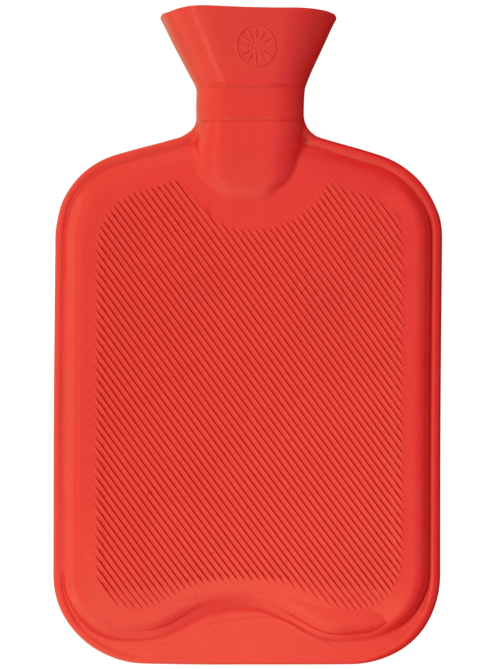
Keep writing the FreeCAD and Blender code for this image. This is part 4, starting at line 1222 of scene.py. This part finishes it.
# the room: a wide bright side on the left and overhead, falling off to a dark one on the right
ROOM_BASE, ROOM_SWING, ROOM_FROM = 0.37, 0.44, math.radians(56)
world = bpy.data.worlds.new("World")
scene.world = world
world.use_nodes = True
wt = world.node_tree
back = wt.nodes["Background"]
way = wt.nodes.new("ShaderNodeTexCoord").outputs["Generated"]
parts = wt.nodes.new("ShaderNodeSeparateXYZ")
wt.links.new(way, parts.inputs[0])
wx, wy = parts.outputs["X"], parts.outputs["Y"]
wz = maths(wt, "MAXIMUM", parts.outputs["Z"], 0.06)
span = maths(wt, "SQRT", maths(wt, "ADD", maths(wt, "MULTIPLY", wx, wx), maths(wt, "MULTIPLY", wz, wz)))
turned = maths(wt, "ADD", maths(wt, "MULTIPLY", wx, -math.sin(ROOM_FROM)), maths(wt, "MULTIPLY", wz, math.cos(ROOM_FROM)))
turned = maths(wt, "DIVIDE", turned, span)
room = maths(wt, "ADD", maths(wt, "MULTIPLY", turned, ROOM_SWING), ROOM_BASE)
foot_end = maths(wt, "MULTIPLY", maths(wt, "SUBTRACT", maths(wt, "MULTIPLY", wy, -1.0), 0.33), 2.2)
foot_end = maths(wt, "MINIMUM", maths(wt, "MAXIMUM", foot_end, 0.0), 0.40)
leftward = remap(wt, wx, 0.40, -0.12, 0.0, 1.0)
foot_end = maths(wt, "MULTIPLY", foot_end, maths(wt, "MAXIMUM", leftward, 0.0))
falling = remap(wt, maths(wt, "DIVIDE", wx, span), 0.11, 0.30, 1.0, 0.42)
falling = maths(wt, "MAXIMUM", maths(wt, "MINIMUM", falling, 1.0), 0.42)
room = maths(wt, "MULTIPLY", room, falling)
room = maths(wt, "ADD", room, foot_end)
room = maths(wt, "MAXIMUM", room, 0.02)
warm = remap(wt, room, 0.1, 0.75, 0.0, 1.0)
tint = blend_colour(wt, warm, (0.90, 0.90, 1.0), (1.0, 1.0, 0.62))
wt.links.new(tint, back.inputs["Color"])
wt.links.new(room, back.inputs["Strength"])
# above the floor's far edge a low view sees a plain pale wall, while the room still lights the bottle
wall = wt.nodes.new("ShaderNodeBackground")
wall.inputs["Color"].default_value = (1.0, 1.0, 1.0, 1.0)
wall.inputs["Strength"].default_value = 1.0
seen = wt.nodes.new("ShaderNodeLightPath")
either = wt.nodes.new("ShaderNodeMixShader")
wt.links.new(seen.outputs["Is Camera Ray"], either.inputs[0])
wt.links.new(back.outputs[0], either.inputs[1])
wt.links.new(wall.outputs[0], either.inputs[2])
wt.links.new(either.outputs[0], wt.nodes["World Output"].inputs["Surface"])


def aim(o, direction, dist=1.6):
    """Puts a light at that distance and turns it to the bottle's middle."""
    zax = Vector(direction).normalized()
    yax = Vector((0, 1, 0)) - zax * zax.y
    yax.normalize()
    m = Matrix((yax.cross(zax), yax, zax)).transposed().to_4x4()
    m.translation = zax * dist + Vector((0.0, 0.0, 0.01))
    o.matrix_world = m


def tilt(deg, along=0.0):
    """The direction that lies that far from straight up, towards the right."""
    a = math.radians(deg)
    return (math.sin(a), along, math.cos(a))


def sky(name, direction, strength, spread, glossy=False):
    data = bpy.data.lights.new(name, "SUN")
    data.energy = strength * math.pi
    data.angle = math.radians(spread)
    o = bpy.data.objects.new(name, data)
    scene.collection.objects.link(o)
    aim(o, direction)
    o.visible_glossy = glossy
    return o


def strip_light(name, direction, width, height_, power):
    data = bpy.data.lights.new(name, "AREA")
    data.shape = "RECTANGLE"
    data.size, data.size_y = width, height_
    data.energy = power
    o = bpy.data.objects.new(name, data)
    scene.collection.objects.link(o)
    aim(o, direction)
    o.visible_diffuse = False
    return o


sky("key", (-math.sin(math.radians(41)), 0.20, math.cos(math.radians(41))), 0.44, 9)
sky("right_fill", tilt(58), 0.56, 120)
sky("top_fill", (0.0, 0.85, 0.53), 0.18, 30)
strip_light("strip", tilt(-32), 0.10, 2.2, 1.2)
strip_light("left_box", tilt(-88), 0.8, 2.4, 2.6).data.color = (1.0, 1.0, 0.62)
low = strip_light("low_lamp", tilt(-5, -0.6), 0.2, 0.2, 0.09)
low.data.color = (1.0, 1.0, 0.40)
low.visible_diffuse, low.visible_glossy = True, True
low.location = (-0.03, -0.25, 0.28)

foot_fill = strip_light("foot_fill", tilt(-3, -1.0), 0.2, 0.2, 0.14)
foot_fill.visible_diffuse, foot_fill.visible_glossy = True, False
foot_fill.location = (-0.03, -0.42, 0.22)

scene.view_settings.view_transform = "Standard"
scene.view_settings.look = "None"
scene.view_settings.exposure = 0.0
scene.view_settings.gamma = 1.0
